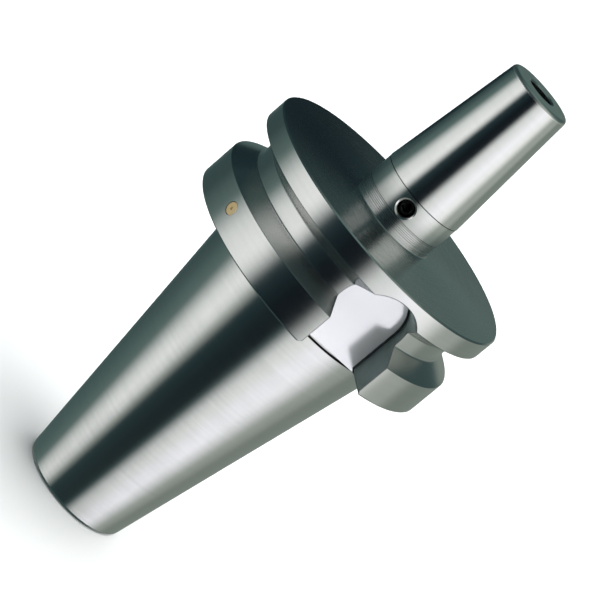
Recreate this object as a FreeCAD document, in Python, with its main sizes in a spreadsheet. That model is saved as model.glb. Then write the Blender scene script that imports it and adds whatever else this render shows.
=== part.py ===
import FreeCAD, Part
import os
import re

import Sketcher

# Shrink fit chuck with a steep 7/24 taper, a V-grooved flange and a slim nose. Sizes are in millimetres.
# The origin is the centre of the taper's gauge line, +Z runs along the axis towards the nose,
# and the two drive slots are centred on +X and -X.

DIMENSIONS = [
    # spindle taper
    ("gauge_diameter", "69.85", "taper diameter at the gauge line"),
    ("taper_length", "101.8", "gauge line to the small end"),
    ("taper_rise", "7", "taper ratio, change of diameter"),
    ("taper_run", "24", "taper ratio, length for that change"),
    ("small_end_break", "1.2", "edge break at the small end"),
    ("relief_depth", "0.5", "grinding relief between taper and flange, below the gauge radius"),
    ("relief_width", "0.5", "straight part of that relief, against the flange"),
    # flange
    ("flange_diameter", "100", "outside diameter of collar and front ring"),
    ("flange_rear", "3", "rear face of the collar"),
    ("flange_front", "38", "front face of the flange"),
    ("rear_edge_break", "0.4", "edge break at the collar's rear edge"),
    ("front_edge_break", "0.5", "edge break at the front ring's edge"),
    ("groove_centre", "23.2", "middle of the gripper groove"),
    ("groove_width", "15", "gripper groove at the outside diameter"),
    ("groove_root_diameter", "85", "root of the gripper groove"),
    ("groove_flank_angle", "30", "each flank against the plane across the axis"),
    # drive slots
    ("slot_width", "25.7", "drive slot"),
    ("slot_floor_height", "35.4", "slot floor to the axis"),
    ("slot_end_centre", "21.75", "centre of the slot's round end"),
    ("slot_floor_break", "0.6", "between slot floor and wall"),
    ("slot_lead_in", "1.3", "edge break where the slot walls meet the rear face"),
    ("slot_count", "2", "drive slots around the flange"),
    # nose
    ("nose_end", "100", "gauge line to the nose's end face"),
    ("nose_end_diameter", "24", "cone diameter at the end face"),
    ("nose_edge_radius", "1.4", "round between cone and end face"),
    ("cone_half_angle", "4.4", "cone flank against the axis"),
    ("cone_start", "51.5", "turned line where the cone meets the neck"),
    ("neck_diameter", "31.3", "plain neck behind the cone"),
    ("neck_root_break", "1.4", "between neck and flange front"),
    ("neck_line", "43.5", "second turned line"),
    ("line_width", "0.4", "both turned lines"),
    ("line_depth", "0.2", "both turned lines"),
    # tool bore and the bores behind it
    ("tool_bore_diameter", "10", "shank bore"),
    ("tool_bore_break", "0.3", "edge break at the bore's mouth"),
    ("tool_bore_end", "55", "inner end of the shank bore"),
    ("bore_relief_diameter", "10.8", "relief between shank bore and screw thread"),
    ("bore_relief_end", "51", "inner end of that relief"),
    ("adjuster_size", "8", "nominal diameter of the adjusting screw"),
    ("adjuster_lead_in", "0.5", "edge break at the adjusting thread's front end"),
    ("adjuster_thread_end", "28", "rear end of the adjusting thread"),
    ("seal_bore_diameter", "9", "smooth bore in which the seal slides"),
    # pull stud hole
    ("pull_stud_size", "24", "nominal diameter of the pull stud thread"),
    ("pull_stud_depth", "70", "full depth from the small end"),
    ("pilot_diameter", "25", "pilot bore for the pull stud"),
    ("pilot_depth", "13", "pilot bore from the small end"),
    ("drill_point_angle", "118", "bottom of the pull stud hole"),
    ("pull_stud_break", "0.6", "edge break at the pilot bore's mouth"),
    # length adjusting screw and seal
    ("adjuster_front", "55", "front face of the adjusting screw at rest"),
    ("adjuster_length", "37", "whole length of the adjusting screw"),
    ("adjuster_thread_length", "30", "threaded part, from the front face"),
    ("adjuster_neck_diameter", "6.6", "run-out neck behind the thread"),
    ("adjuster_head_start", "32.5", "front face to the seal head"),
    ("adjuster_edge_break", "0.5", "edge break at the adjusting screw's ends"),
    ("coolant_hole_diameter", "3", "hole along the adjusting screw"),
    ("adjuster_key_width", "4", "hexagon sockets across flats"),
    ("adjuster_key_depth", "4", "hexagon sockets"),
    ("seal_position", "35", "front face to the middle of the seal groove"),
    ("seal_cord_diameter", "1.5", "section of the seal ring, across"),
    ("seal_cord_break", "0.35", "bevels of the seal ring's section"),
    ("head_clearance", "0.09", "seal head in its bore, radial"),
    ("seal_clearance", "0.04", "seal ring in its bore and groove"),
    ("thread_clearance", "0.03", "screws in their threads, radial"),
    # radial locking screw and its pad
    ("locking_position", "47.1", "locking screw, distance from the gauge line"),
    ("locking_azimuth", "-26", "locking screw around the axis, from +X"),
    ("locking_size", "6", "nominal diameter of the locking screw"),
    ("locking_mouth_diameter", "6.6", "countersink of the locking screw's hole"),
    ("locking_mouth_angle", "90", "countersink of the locking screw's hole"),
    ("locking_screw_length", "7", "locking screw"),
    ("locking_edge_break", "0.4", "edge break at both ends of the locking screw"),
    ("locking_key_width", "3", "hexagon socket across flats"),
    ("locking_key_depth", "3.2", "hexagon socket"),
    ("pad_diameter", "4.6", "soft pad under the locking screw"),
    ("pad_length", "2.4", "soft pad under the locking screw"),
    ("pad_gap", "0.05", "pad to the adjusting screw"),
    # coolant passage through the collar
    ("passage_position", "10.7", "cross-drilling, distance from the gauge line"),
    ("passage_azimuth", "-70.1", "first cross-drilling around the axis, from +X"),
    ("passage_diameter", "3", "cross-drilling"),
    ("passage_count", "2", "cross-drillings around the axis"),
    ("feed_diameter", "4", "feed hole in the collar's rear face"),
    ("feed_circle_radius", "42", "feed holes from the axis"),
    ("plug_diameter", "4.6", "plug that closes the cross-drilling at the rim"),
    ("plug_length", "5", "plug"),
    ("plug_sink", "0.1", "plug face below the rim"),
    ("plug_edge_break", "0.25", "edge break at the plug's outer face"),
    ("plug_gap", "0.01", "plug in its pocket, radial"),
    ("plug_dimple_diameter", "0.9", "centre mark in the plug"),
    ("plug_dimple_depth", "0.4", "centre mark in the plug"),
]

DERIVED = [
    ("taper_half_slope", "=taper_rise / taper_run / 2", "radius change per length of taper"),
    ("gauge_radius", "=gauge_diameter / 2", "taper at the gauge line"),
    ("small_end_radius", "=gauge_radius - taper_length * taper_half_slope", "taper at the small end"),
    ("small_break_radius", "=small_end_radius + small_end_break * taper_half_slope", "top of the edge break"),
    ("taper_end", "=flange_rear - relief_width - relief_depth", "height at which the ground taper ends"),
    ("taper_end_radius", "=gauge_radius + taper_end * taper_half_slope", "taper where the relief starts"),
    ("relief_radius", "=gauge_radius - relief_depth", "grinding relief"),
    ("flange_radius", "=flange_diameter / 2", "flange"),
    ("groove_root_radius", "=groove_root_diameter / 2", "root of the gripper groove"),
    (
        "groove_flank_run",
        "=(flange_radius - groove_root_radius) * tan(groove_flank_angle * 1 deg)",
        "flank length along the axis",
    ),
    ("neck_radius", "=neck_diameter / 2", "neck"),
    ("nose_end_radius", "=nose_end_diameter / 2", "cone at the end face"),
    (
        "cone_start_radius",
        "=nose_end_radius + (nose_end - cone_start) * tan(cone_half_angle * 1 deg)",
        "cone at its start",
    ),
    ("tool_bore_radius", "=tool_bore_diameter / 2", "shank bore"),
    ("bore_relief_radius", "=bore_relief_diameter / 2", "relief"),
    ("adjuster_hole_radius", "=adjuster_size / 2 + thread_clearance / 2", "adjusting thread in the body"),
    ("adjuster_radius", "=adjuster_size / 2 - thread_clearance / 2", "adjusting screw"),
    ("seal_bore_radius", "=seal_bore_diameter / 2", "seal bore"),
    ("adjuster_head_radius", "=seal_bore_radius - head_clearance", "seal head"),
    ("seal_cord_radius", "=seal_cord_diameter / 2", "seal ring section"),
    ("seal_ring_radius", "=seal_bore_radius - seal_clearance - seal_cord_radius", "seal ring centre line"),
    ("seal_groove_radius", "=seal_ring_radius - seal_cord_radius - seal_clearance", "seal groove floor"),
    ("seal_groove_width", "=seal_cord_diameter + 2 * seal_clearance", "seal groove"),
    ("locking_hole_diameter", "=locking_size + thread_clearance", "locking thread in the body"),
    ("locking_radius", "=locking_size / 2 - thread_clearance / 2", "locking screw"),
    ("pad_start", "=adjuster_radius + pad_gap", "pad tip from the axis"),
    ("locking_screw_start", "=pad_start + pad_length", "locking screw's inner end from the axis"),
    ("plug_start", "=flange_radius - plug_sink - plug_length", "plug's inner end from the axis"),
    ("plug_radius", "=plug_diameter / 2 - plug_gap", "plug"),
]


def fill_sheet(doc):
    """Write every size into the sheet and give it its name.

    Args:
        doc: document that gets the sheet.

    Returns:
        The spreadsheet object.
    """
    sheet = doc.addObject("Spreadsheet::Sheet", "Dimensions")
    for row, (alias, value, meaning) in enumerate(DIMENSIONS + DERIVED, start=1):
        sheet.set(f"A{row}", meaning)
        sheet.set(f"B{row}", value)
        sheet.setAlias(f"B{row}", alias)
    doc.recompute()
    return sheet


def bound(text):
    """Turn size names in an expression into references to the sheet.

    Args:
        text: expression in size names, such as "neck_line - line_width / 2".

    Returns:
        The expression as the document reads it.
    """
    names = {alias for alias, _, _ in DIMENSIONS + DERIVED}

    def as_reference(word):
        return f"Dimensions.{word.group()}" if word.group() in names else word.group()

    return re.sub(r"[a-z_]+", as_reference, text)


def origin_feature(body, role):
    """Find one of a body's origin planes or axes.

    Args:
        body: the body that owns the origin.
        role: role name, such as "XZ_Plane".

    Returns:
        The origin feature with that role.
    """
    return next(f for f in body.Origin.OriginFeatures if f.Role == role)


def add_body(doc, name, base=(), turn=None):
    """Add a body with its own label and placement.

    Args:
        doc: document that gets the body.
        name: node name of the sub-part.
        base: up to three expressions for the placement's X, Y and Z.
        turn: expression for the placement's turn about Z, in degrees, for a body whose own axis is +X.

    Returns:
        The new body.
    """
    body = doc.addObject("PartDesign::Body", name)
    body.Label = name
    if turn is not None:
        body.Placement.Rotation = FreeCAD.Rotation(FreeCAD.Vector(0, 0, 1), 1)
        body.setExpression(".Placement.Rotation.Angle", bound(turn))
    for axis, text in zip("xyz", base):
        body.setExpression(f".Placement.Base.{axis}", bound(text))
    return body


def add_sketch(body, name, role, base=(), azimuth=None):
    """Add a sketch on an origin plane of its own body.

    Args:
        body: body that owns the sketch.
        name: object name.
        role: role of the origin plane.
        base: up to three expressions for the offset in the plane's own axes.
        azimuth: expression for a turn about the body's Z axis, for sketches on the YZ plane.

    Returns:
        The new sketch.
    """
    sketch = body.newObject("Sketcher::SketchObject", name)
    sketch.AttachmentSupport = [(origin_feature(body, role), "")]
    sketch.MapMode = "FlatFace"
    if azimuth is not None:
        sketch.AttachmentOffset = FreeCAD.Placement(
            FreeCAD.Vector(0, 0, 0), FreeCAD.Rotation(FreeCAD.Vector(0, 1, 0), 1)
        )
        sketch.setExpression(".AttachmentOffset.Rotation.Angle", bound(azimuth))
    for axis, text in zip("xyz", base):
        if text:
            sketch.setExpression(f".AttachmentOffset.Base.{axis}", bound(text))
    return sketch


def pin_point(sketch, line, end, x_text, y_text):
    """Hold one end of a line at a place given by two expressions.

    Args:
        sketch: sketch that owns the line.
        line: index of the line.
        end: 1 for its start, 2 for its end.
        x_text: expression for the horizontal coordinate, "0" on the vertical axis.
        y_text: expression for the vertical coordinate, "0" on the horizontal axis.
    """
    if x_text == "0":
        sketch.addConstraint(Sketcher.Constraint("PointOnObject", line, end, -2))
    else:
        index = sketch.addConstraint(Sketcher.Constraint("DistanceX", line, end, 1.0))
        sketch.setExpression(f"Constraints[{index}]", bound(x_text))
    if y_text == "0":
        sketch.addConstraint(Sketcher.Constraint("PointOnObject", line, end, -1))
    else:
        index = sketch.addConstraint(Sketcher.Constraint("DistanceY", line, end, 1.0))
        sketch.setExpression(f"Constraints[{index}]", bound(y_text))


def value_of(sheet, text):
    """Work out an expression with the sheet's present values.

    Args:
        sheet: the spreadsheet.
        text: expression in size names.

    Returns:
        The value as a float.
    """
    return float(sheet.evalExpression(bound(text)))


def add_outline(sheet, sketch, points):
    """Draw a closed outline of straight lines whose corners follow the sheet.

    Args:
        sheet: the spreadsheet.
        sketch: sketch that gets the lines.
        points: corners in order, each a pair of expressions.
    """
    places = [FreeCAD.Vector(value_of(sheet, x), value_of(sheet, y), 0) for x, y in points]
    lines = [
        Part.LineSegment(place, places[(i + 1) % len(places)]) for i, place in enumerate(places)
    ]
    sketch.addGeometry(lines, False)
    for i in range(len(lines)):
        sketch.addConstraint(Sketcher.Constraint("Coincident", i, 2, (i + 1) % len(lines), 1))
    for i, (x, y) in enumerate(points):
        pin_point(sketch, i, 1, x, y)


def add_circle(sketch, diameter, x_text="0", y_text="0"):
    """Draw a circle whose size and centre follow the sheet.

    Args:
        sketch: sketch that gets the circle.
        diameter: expression for its diameter.
        x_text: expression for its centre's horizontal coordinate.
        y_text: expression for its centre's vertical coordinate.
    """
    circle = sketch.addGeometry(Part.Circle(FreeCAD.Vector(0, 0, 0), FreeCAD.Vector(0, 0, 1), 1), False)
    index = sketch.addConstraint(Sketcher.Constraint("Diameter", circle, 2.0))
    sketch.setExpression(f"Constraints[{index}]", bound(diameter))
    pin_point(sketch, circle, 3, x_text, y_text)


def add_hexagon(sketch, width):
    """Draw a regular hexagon about the sketch's origin, two corners on its horizontal axis.

    Args:
        sketch: sketch that gets the hexagon.
        width: expression for the width across flats.
    """
    corners = [FreeCAD.Rotation(FreeCAD.Vector(0, 0, 1), 60 * i).multVec(FreeCAD.Vector(2, 0, 0)) for i in range(6)]
    first = sketch.GeometryCount
    sketch.addGeometry(
        [Part.LineSegment(corners[i], corners[(i + 1) % 6]) for i in range(6)], False
    )
    rim = sketch.addGeometry(Part.Circle(FreeCAD.Vector(0, 0, 0), FreeCAD.Vector(0, 0, 1), 2), True)
    sketch.addConstraint(Sketcher.Constraint("Coincident", rim, 3, -1, 1))
    for i in range(6):
        sketch.addConstraint(Sketcher.Constraint("Coincident", first + i, 2, first + (i + 1) % 6, 1))
        sketch.addConstraint(Sketcher.Constraint("PointOnObject", first + i, 1, rim))
    for i in range(1, 6):
        sketch.addConstraint(Sketcher.Constraint("Equal", first, first + i))
    sketch.addConstraint(Sketcher.Constraint("PointOnObject", first, 1, -1))
    index = sketch.addConstraint(Sketcher.Constraint("Diameter", rim, 4.0))
    sketch.setExpression(f"Constraints[{index}]", bound(f"2 * {width} / sqrt(3)"))


def revolve(body, name, sketch, kind="Revolution"):
    """Turn a sketch about its vertical axis.

    Args:
        body: body that gets the feature.
        name: object name.
        sketch: half section.
        kind: "Revolution" adds material, "Groove" takes it away.

    Returns:
        The new feature.
    """
    feature = body.newObject(f"PartDesign::{kind}", name)
    feature.Profile = sketch
    feature.ReferenceAxis = (sketch, ["V_Axis"])
    feature.Angle = 360.0
    return feature


def pocket(body, name, sketch, depth, outward=False):
    """Cut a sketch into a body.

    Args:
        body: body that gets the feature.
        name: object name.
        sketch: outline of the cut.
        depth: expression for the depth.
        outward: cut along the sketch's normal instead of against it.

    Returns:
        The new feature.
    """
    feature = body.newObject("PartDesign::Pocket", name)
    feature.Profile = sketch
    feature.Reversed = outward
    feature.setExpression("Length", bound(depth))
    return feature


def repeat(doc, body, name, features, count):
    """Repeat features around the body's Z axis.

    Args:
        doc: the document.
        body: body that gets the pattern.
        name: object name.
        features: features to repeat.
        count: expression for the number of places.

    Returns:
        The new pattern.
    """
    doc.recompute()
    pattern = body.newObject("PartDesign::PolarPattern", name)
    pattern.Originals = features
    pattern.Axis = (origin_feature(body, "Z_Axis"), [""])
    pattern.Angle = 360.0
    body.Tip = pattern
    pattern.setExpression("Occurrences", bound(count))
    return pattern


def edges_where(feature, test):
    """Name the edges of a feature's shape that pass a test.

    Args:
        feature: the feature whose shape is searched.
        test: function of an edge.

    Returns:
        List of edge names.
    """
    return [f"Edge{i}" for i, edge in enumerate(feature.Shape.Edges, start=1) if test(edge)]


def dress_edges(doc, body, name, test, size, kind="Chamfer"):
    """Break the edges of a body's last feature that pass a test.

    Args:
        doc: the document.
        body: body that gets the feature.
        name: object name.
        test: function of an edge.
        size: expression for the chamfer's width or the fillet's radius.
        kind: "Chamfer" or "Fillet".

    Returns:
        The new feature.
    """
    doc.recompute()
    base = body.Tip
    names = edges_where(base, test)
    if not names:
        raise RuntimeError(f"{name} finds no edge")
    feature = body.newObject(f"PartDesign::{kind}", name)
    feature.Base = (base, names)
    feature.setExpression("Radius" if kind == "Fillet" else "Size", bound(size))
    doc.recompute()
    return feature


def ring_at(radius, height):
    """Make a test for full circles about the Z axis.

    Args:
        radius: wanted radius.
        height: wanted height.

    Returns:
        Function of an edge.
    """

    def test(edge):
        box = edge.BoundBox
        round_enough = abs(box.XMax - radius) < 0.01 and abs(box.XMin + radius) < 0.01
        return round_enough and abs(box.ZMin - height) < 0.01 and abs(box.ZMax - height) < 0.01

    return test


def build_chuck_body(doc, sheet):
    """Build the one-piece steel body: taper, flange, slots, nose and all its bores."""
    body = add_body(doc, "chuck_body", base=("0", "0", "0"))

    outline = add_sketch(body, "body_outline", "XZ_Plane")
    half_groove = "groove_width / 2"
    add_outline(
        sheet,
        outline,
        [
            ("0", "0 - taper_length"),
            ("small_end_radius - small_end_break", "0 - taper_length"),
            ("small_break_radius", "small_end_break - taper_length"),
            ("taper_end_radius", "taper_end"),
            ("relief_radius", "taper_end + relief_depth"),
            ("relief_radius", "flange_rear"),
            ("flange_radius - rear_edge_break", "flange_rear"),
            ("flange_radius", "flange_rear + rear_edge_break"),
            ("flange_radius", f"groove_centre - {half_groove}"),
            ("groove_root_radius", f"groove_centre - {half_groove} + groove_flank_run"),
            ("groove_root_radius", f"groove_centre + {half_groove} - groove_flank_run"),
            ("flange_radius", f"groove_centre + {half_groove}"),
            ("flange_radius", "flange_front - front_edge_break"),
            ("flange_radius - front_edge_break", "flange_front"),
            ("neck_radius", "flange_front"),
            ("neck_radius", "neck_line - line_width / 2"),
            ("neck_radius - line_depth", "neck_line"),
            ("neck_radius", "neck_line + line_width / 2"),
            ("neck_radius", "cone_start - line_width / 2"),
            ("neck_radius - line_depth", "cone_start"),
            ("cone_start_radius", "cone_start + line_width / 2"),
            ("nose_end_radius", "nose_end"),
            ("0", "nose_end"),
        ],
    )
    revolve(body, "turned_form", outline)

    dress_edges(
        doc,
        body,
        "nose_edge_round",
        ring_at(value_of(sheet, "nose_end_radius"), value_of(sheet, "nose_end")),
        "nose_edge_radius",
        kind="Fillet",
    )
    dress_edges(
        doc,
        body,
        "neck_root",
        ring_at(value_of(sheet, "neck_radius"), value_of(sheet, "flange_front")),
        "neck_root_break",
    )

    # one drive slot, open to the rear, with a full round front end, then its twin
    slot_outline = add_sketch(body, "slot_outline", "YZ_Plane", base=("", "", "slot_floor_height"))
    half = value_of(sheet, "slot_width / 2")
    centre = value_of(sheet, "slot_end_centre")
    slot_outline.addGeometry(
        [
            Part.LineSegment(FreeCAD.Vector(-half, centre, 0), FreeCAD.Vector(-half, 0, 0)),
            Part.LineSegment(FreeCAD.Vector(-half, 0, 0), FreeCAD.Vector(half, 0, 0)),
            Part.LineSegment(FreeCAD.Vector(half, 0, 0), FreeCAD.Vector(half, centre, 0)),
            Part.ArcOfCircle(
                Part.Circle(FreeCAD.Vector(0, centre, 0), FreeCAD.Vector(0, 0, 1), half),
                0.0,
                3.141592653589793,
            ),
        ],
        False,
    )
    for constraint in (
        Sketcher.Constraint("Coincident", 0, 2, 1, 1),
        Sketcher.Constraint("Coincident", 1, 2, 2, 1),
        Sketcher.Constraint("Tangent", 2, 2, 3, 1),
        Sketcher.Constraint("Tangent", 3, 2, 0, 1),
        Sketcher.Constraint("Vertical", 0),
        Sketcher.Constraint("Horizontal", 1),
        Sketcher.Constraint("PointOnObject", 1, 1, -1),
        Sketcher.Constraint("PointOnObject", 3, 3, -2),
    ):
        slot_outline.addConstraint(constraint)
    index = slot_outline.addConstraint(Sketcher.Constraint("DistanceX", 1, 1, 1, 2, 2 * half))
    slot_outline.setExpression(f"Constraints[{index}]", bound("slot_width"))
    index = slot_outline.addConstraint(Sketcher.Constraint("DistanceY", 3, 3, centre))
    slot_outline.setExpression(f"Constraints[{index}]", bound("slot_end_centre"))
    slot = pocket(body, "drive_slot", slot_outline, "flange_radius", outward=True)

    # the walls open outwards at the rear face, so that a drive key finds its way in
    lead_in_outline = add_sketch(body, "slot_lead_in_outline", "YZ_Plane", base=("", "", "slot_floor_height"))
    add_outline(
        sheet,
        lead_in_outline,
        [
            ("slot_width / 2", "flange_rear + slot_lead_in"),
            ("0 - slot_width / 2", "flange_rear + slot_lead_in"),
            ("0 - slot_width / 2 - slot_lead_in", "flange_rear"),
            ("0 - slot_width / 2 - slot_lead_in", "0"),
            ("slot_width / 2 + slot_lead_in", "0"),
            ("slot_width / 2 + slot_lead_in", "flange_rear"),
        ],
    )
    lead_in = pocket(body, "slot_lead_in_cut", lead_in_outline, "flange_radius", outward=True)
    repeat(doc, body, "drive_slots", [slot, lead_in], "slot_count")

    floor = value_of(sheet, "slot_floor_height")

    def on_slot_floor(edge):
        box = edge.BoundBox
        at_floor = abs(abs(box.XMax) - floor) < 0.001 and abs(abs(box.XMin) - floor) < 0.001
        across = box.YLength > 2 * half - 0.01 and box.ZLength < 0.01
        return at_floor and not across

    dress_edges(doc, body, "slot_floor_corner", on_slot_floor, "slot_floor_break")

    # stepped bore along the axis, from the tool's shank back to the pull stud hole
    bore_outline = add_sketch(body, "bore_outline", "XZ_Plane")
    add_outline(
        sheet,
        bore_outline,
        [
            ("0", "nose_end + 1"),
            ("tool_bore_radius + tool_bore_break + 1", "nose_end + 1"),
            ("tool_bore_radius", "nose_end - tool_bore_break"),
            ("tool_bore_radius", "tool_bore_end"),
            ("bore_relief_radius", "tool_bore_end - (bore_relief_radius - tool_bore_radius)"),
            ("bore_relief_radius", "bore_relief_end"),
            ("adjuster_hole_radius + adjuster_lead_in", "bore_relief_end"),
            ("adjuster_hole_radius", "bore_relief_end - adjuster_lead_in"),
            ("adjuster_hole_radius", "adjuster_thread_end"),
            ("seal_bore_radius", "adjuster_thread_end - (seal_bore_radius - adjuster_hole_radius)"),
            ("seal_bore_radius", "pull_stud_depth - taper_length"),
            ("0", "pull_stud_depth - taper_length"),
        ],
    )
    revolve(body, "stepped_bore", bore_outline, kind="Groove")

    # hole for the pull stud, from the small end
    doc.recompute()
    stud_place = add_sketch(body, "pull_stud_place", "XY_Plane", base=("", "", "0 - taper_length"))
    add_circle(stud_place, "pull_stud_size")
    doc.recompute()
    stud_hole = body.newObject("PartDesign::Hole", "pull_stud_hole")
    stud_hole.Profile = stud_place
    stud_hole.Reversed = True
    stud_hole.DepthType = "Dimension"
    stud_hole.DrillPoint = "Angled"
    stud_hole.HoleCutType = "Counterbore"
    stud_hole.HoleCutCustomValues = True
    for prop, text in (
        ("Diameter", "pull_stud_size"),
        ("Depth", "pull_stud_depth"),
        ("DrillPointAngle", "drill_point_angle"),
        ("HoleCutDiameter", "pilot_diameter"),
        ("HoleCutDepth", "pilot_depth"),
    ):
        stud_hole.setExpression(prop, bound(text))
    dress_edges(
        doc,
        body,
        "pull_stud_mouth",
        ring_at(value_of(sheet, "pilot_diameter / 2"), value_of(sheet, "0 - taper_length")),
        "pull_stud_break",
    )

    # countersunk hole for the locking screw
    lock_place = add_sketch(
        body,
        "locking_place",
        "YZ_Plane",
        base=(
            "neck_radius * sin(locking_azimuth * 1 deg)",
            "",
            "neck_radius * cos(locking_azimuth * 1 deg)",
        ),
        azimuth="locking_azimuth",
    )
    add_circle(lock_place, "locking_hole_diameter", y_text="locking_position")
    doc.recompute()
    lock_hole = body.newObject("PartDesign::Hole", "locking_hole")
    lock_hole.Profile = lock_place
    lock_hole.DepthType = "Dimension"
    lock_hole.DrillPoint = "Flat"
    lock_hole.HoleCutType = "Countersink"
    lock_hole.HoleCutCustomValues = True
    for prop, text in (
        ("Diameter", "locking_hole_diameter"),
        ("Depth", "neck_radius"),
        ("HoleCutDiameter", "locking_mouth_diameter"),
        ("HoleCutCountersinkAngle", "locking_mouth_angle"),
    ):
        lock_hole.setExpression(prop, bound(text))
    doc.recompute()

    # coolant passage: a cross-drilling with a pocket for its plug, and a feed hole in the collar's rear face
    passage_place = add_sketch(
        body,
        "passage_place",
        "YZ_Plane",
        base=(
            "flange_radius * sin(passage_azimuth * 1 deg)",
            "",
            "flange_radius * cos(passage_azimuth * 1 deg)",
        ),
        azimuth="passage_azimuth",
    )
    add_circle(passage_place, "passage_diameter", y_text="passage_position")
    doc.recompute()
    passage = body.newObject("PartDesign::Hole", "coolant_passage")
    passage.Profile = passage_place
    passage.DepthType = "Dimension"
    passage.DrillPoint = "Flat"
    passage.HoleCutType = "Counterbore"
    passage.HoleCutCustomValues = True
    for prop, text in (
        ("Diameter", "passage_diameter"),
        ("Depth", "flange_radius - passage_diameter / 2"),
        ("HoleCutDiameter", "plug_diameter"),
        ("HoleCutDepth", "plug_sink + plug_length"),
    ):
        passage.setExpression(prop, bound(text))
    repeat(doc, body, "coolant_passages", [passage], "passage_count")
    doc.recompute()
    feed_place = add_sketch(body, "feed_place", "XY_Plane", base=("", "", "flange_rear"))
    add_circle(
        feed_place,
        "feed_diameter",
        x_text="feed_circle_radius * cos(passage_azimuth * 1 deg)",
        y_text="feed_circle_radius * sin(passage_azimuth * 1 deg)",
    )
    feed = pocket(body, "feed_hole", feed_place, "passage_position - flange_rear", outward=True)
    repeat(doc, body, "feed_holes", [feed], "passage_count")
    doc.recompute()
    return body


def build_adjusting_screw(doc, sheet):
    """Build the length adjusting screw, front face at its own origin, with its seal head behind."""
    body = add_body(doc, "length_adjusting_screw", base=("0", "0", "adjuster_front"))
    outline = add_sketch(body, "adjuster_outline", "XZ_Plane")
    half_width = "seal_groove_width / 2"
    neck_step = "(adjuster_radius - adjuster_neck_diameter / 2)"
    add_outline(
        sheet,
        outline,
        [
            ("0", "0"),
            ("adjuster_radius - adjuster_edge_break", "0"),
            ("adjuster_radius", "0 - adjuster_edge_break"),
            ("adjuster_radius", "0 - adjuster_thread_length"),
            ("adjuster_neck_diameter / 2", f"0 - adjuster_thread_length - {neck_step}"),
            ("adjuster_neck_diameter / 2", "0 - adjuster_head_start"),
            ("adjuster_head_radius", "0 - adjuster_head_start"),
            ("adjuster_head_radius", f"{half_width} - seal_position"),
            ("seal_groove_radius", f"{half_width} - seal_position"),
            ("seal_groove_radius", f"0 - {half_width} - seal_position"),
            ("adjuster_head_radius", f"0 - {half_width} - seal_position"),
            ("adjuster_head_radius", "adjuster_edge_break / 2 - adjuster_length"),
            ("adjuster_head_radius - adjuster_edge_break / 2", "0 - adjuster_length"),
            ("0", "0 - adjuster_length"),
        ],
    )
    revolve(body, "adjuster_form", outline)
    front_key = add_sketch(body, "front_key_outline", "XY_Plane")
    add_hexagon(front_key, "adjuster_key_width")
    pocket(body, "front_key", front_key, "adjuster_key_depth")
    rear_key = add_sketch(body, "rear_key_outline", "XY_Plane", base=("", "", "0 - adjuster_length"))
    add_hexagon(rear_key, "adjuster_key_width")
    pocket(body, "rear_key", rear_key, "adjuster_key_depth", outward=True)
    coolant = add_sketch(body, "coolant_hole_outline", "XY_Plane")
    add_circle(coolant, "coolant_hole_diameter")
    pocket(body, "coolant_hole", coolant, "adjuster_length")
    doc.recompute()
    return body


def build_seal(doc, sheet):
    """Build the seal ring of the adjusting screw about its own origin."""
    body = add_body(doc, "adjusting_screw_seal", base=("0", "0", "adjuster_front - seal_position"))
    section = add_sketch(body, "seal_section", "XZ_Plane")
    inner = "seal_ring_radius - seal_cord_radius"
    outer = "seal_ring_radius + seal_cord_radius"
    add_outline(
        sheet,
        section,
        [
            (f"{inner} + seal_cord_break", "0 - seal_cord_radius"),
            (f"{outer} - seal_cord_break", "0 - seal_cord_radius"),
            (outer, "seal_cord_break - seal_cord_radius"),
            (outer, "seal_cord_radius - seal_cord_break"),
            (f"{outer} - seal_cord_break", "seal_cord_radius"),
            (f"{inner} + seal_cord_break", "seal_cord_radius"),
            (inner, "seal_cord_radius - seal_cord_break"),
            (inner, "seal_cord_break - seal_cord_radius"),
        ],
    )
    revolve(body, "seal_ring", section)
    doc.recompute()
    return body


def add_radial_cylinder(sheet, body, name, radius, length, front_break):
    """Build a turned piece along the body's own +X axis, with its inner end at the origin.

    Args:
        sheet: the spreadsheet.
        body: body that gets the feature.
        name: object name.
        radius: expression for the radius.
        length: expression for the length.
        front_break: expression for the edge break at the outer end.

    Returns:
        The new feature.
    """
    section = add_sketch(body, f"{name}_section", "XY_Plane")
    add_outline(
        sheet,
        section,
        [
            ("0", "0"),
            (length, "0"),
            (length, f"{radius} - {front_break}"),
            (f"{length} - {front_break}", radius),
            ("0", radius),
        ],
    )
    feature = body.newObject("PartDesign::Revolution", name)
    feature.Profile = section
    feature.ReferenceAxis = (section, ["H_Axis"])
    feature.Angle = 360.0
    return feature


def build_locking_screw(doc, sheet):
    """Build the headless locking screw, which lies along its own +X axis."""
    body = add_body(
        doc,
        "radial_locking_screw",
        base=(
            "locking_screw_start * cos(locking_azimuth * 1 deg)",
            "locking_screw_start * sin(locking_azimuth * 1 deg)",
            "locking_position",
        ),
        turn="locking_azimuth",
    )
    add_radial_cylinder(
        sheet, body, "locking_form", "locking_radius", "locking_screw_length", "locking_edge_break"
    )
    key = add_sketch(body, "locking_key_outline", "YZ_Plane", base=("", "", "locking_screw_length"))
    add_hexagon(key, "locking_key_width")
    pocket(body, "locking_key", key, "locking_key_depth")
    doc.recompute()
    return body


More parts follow.
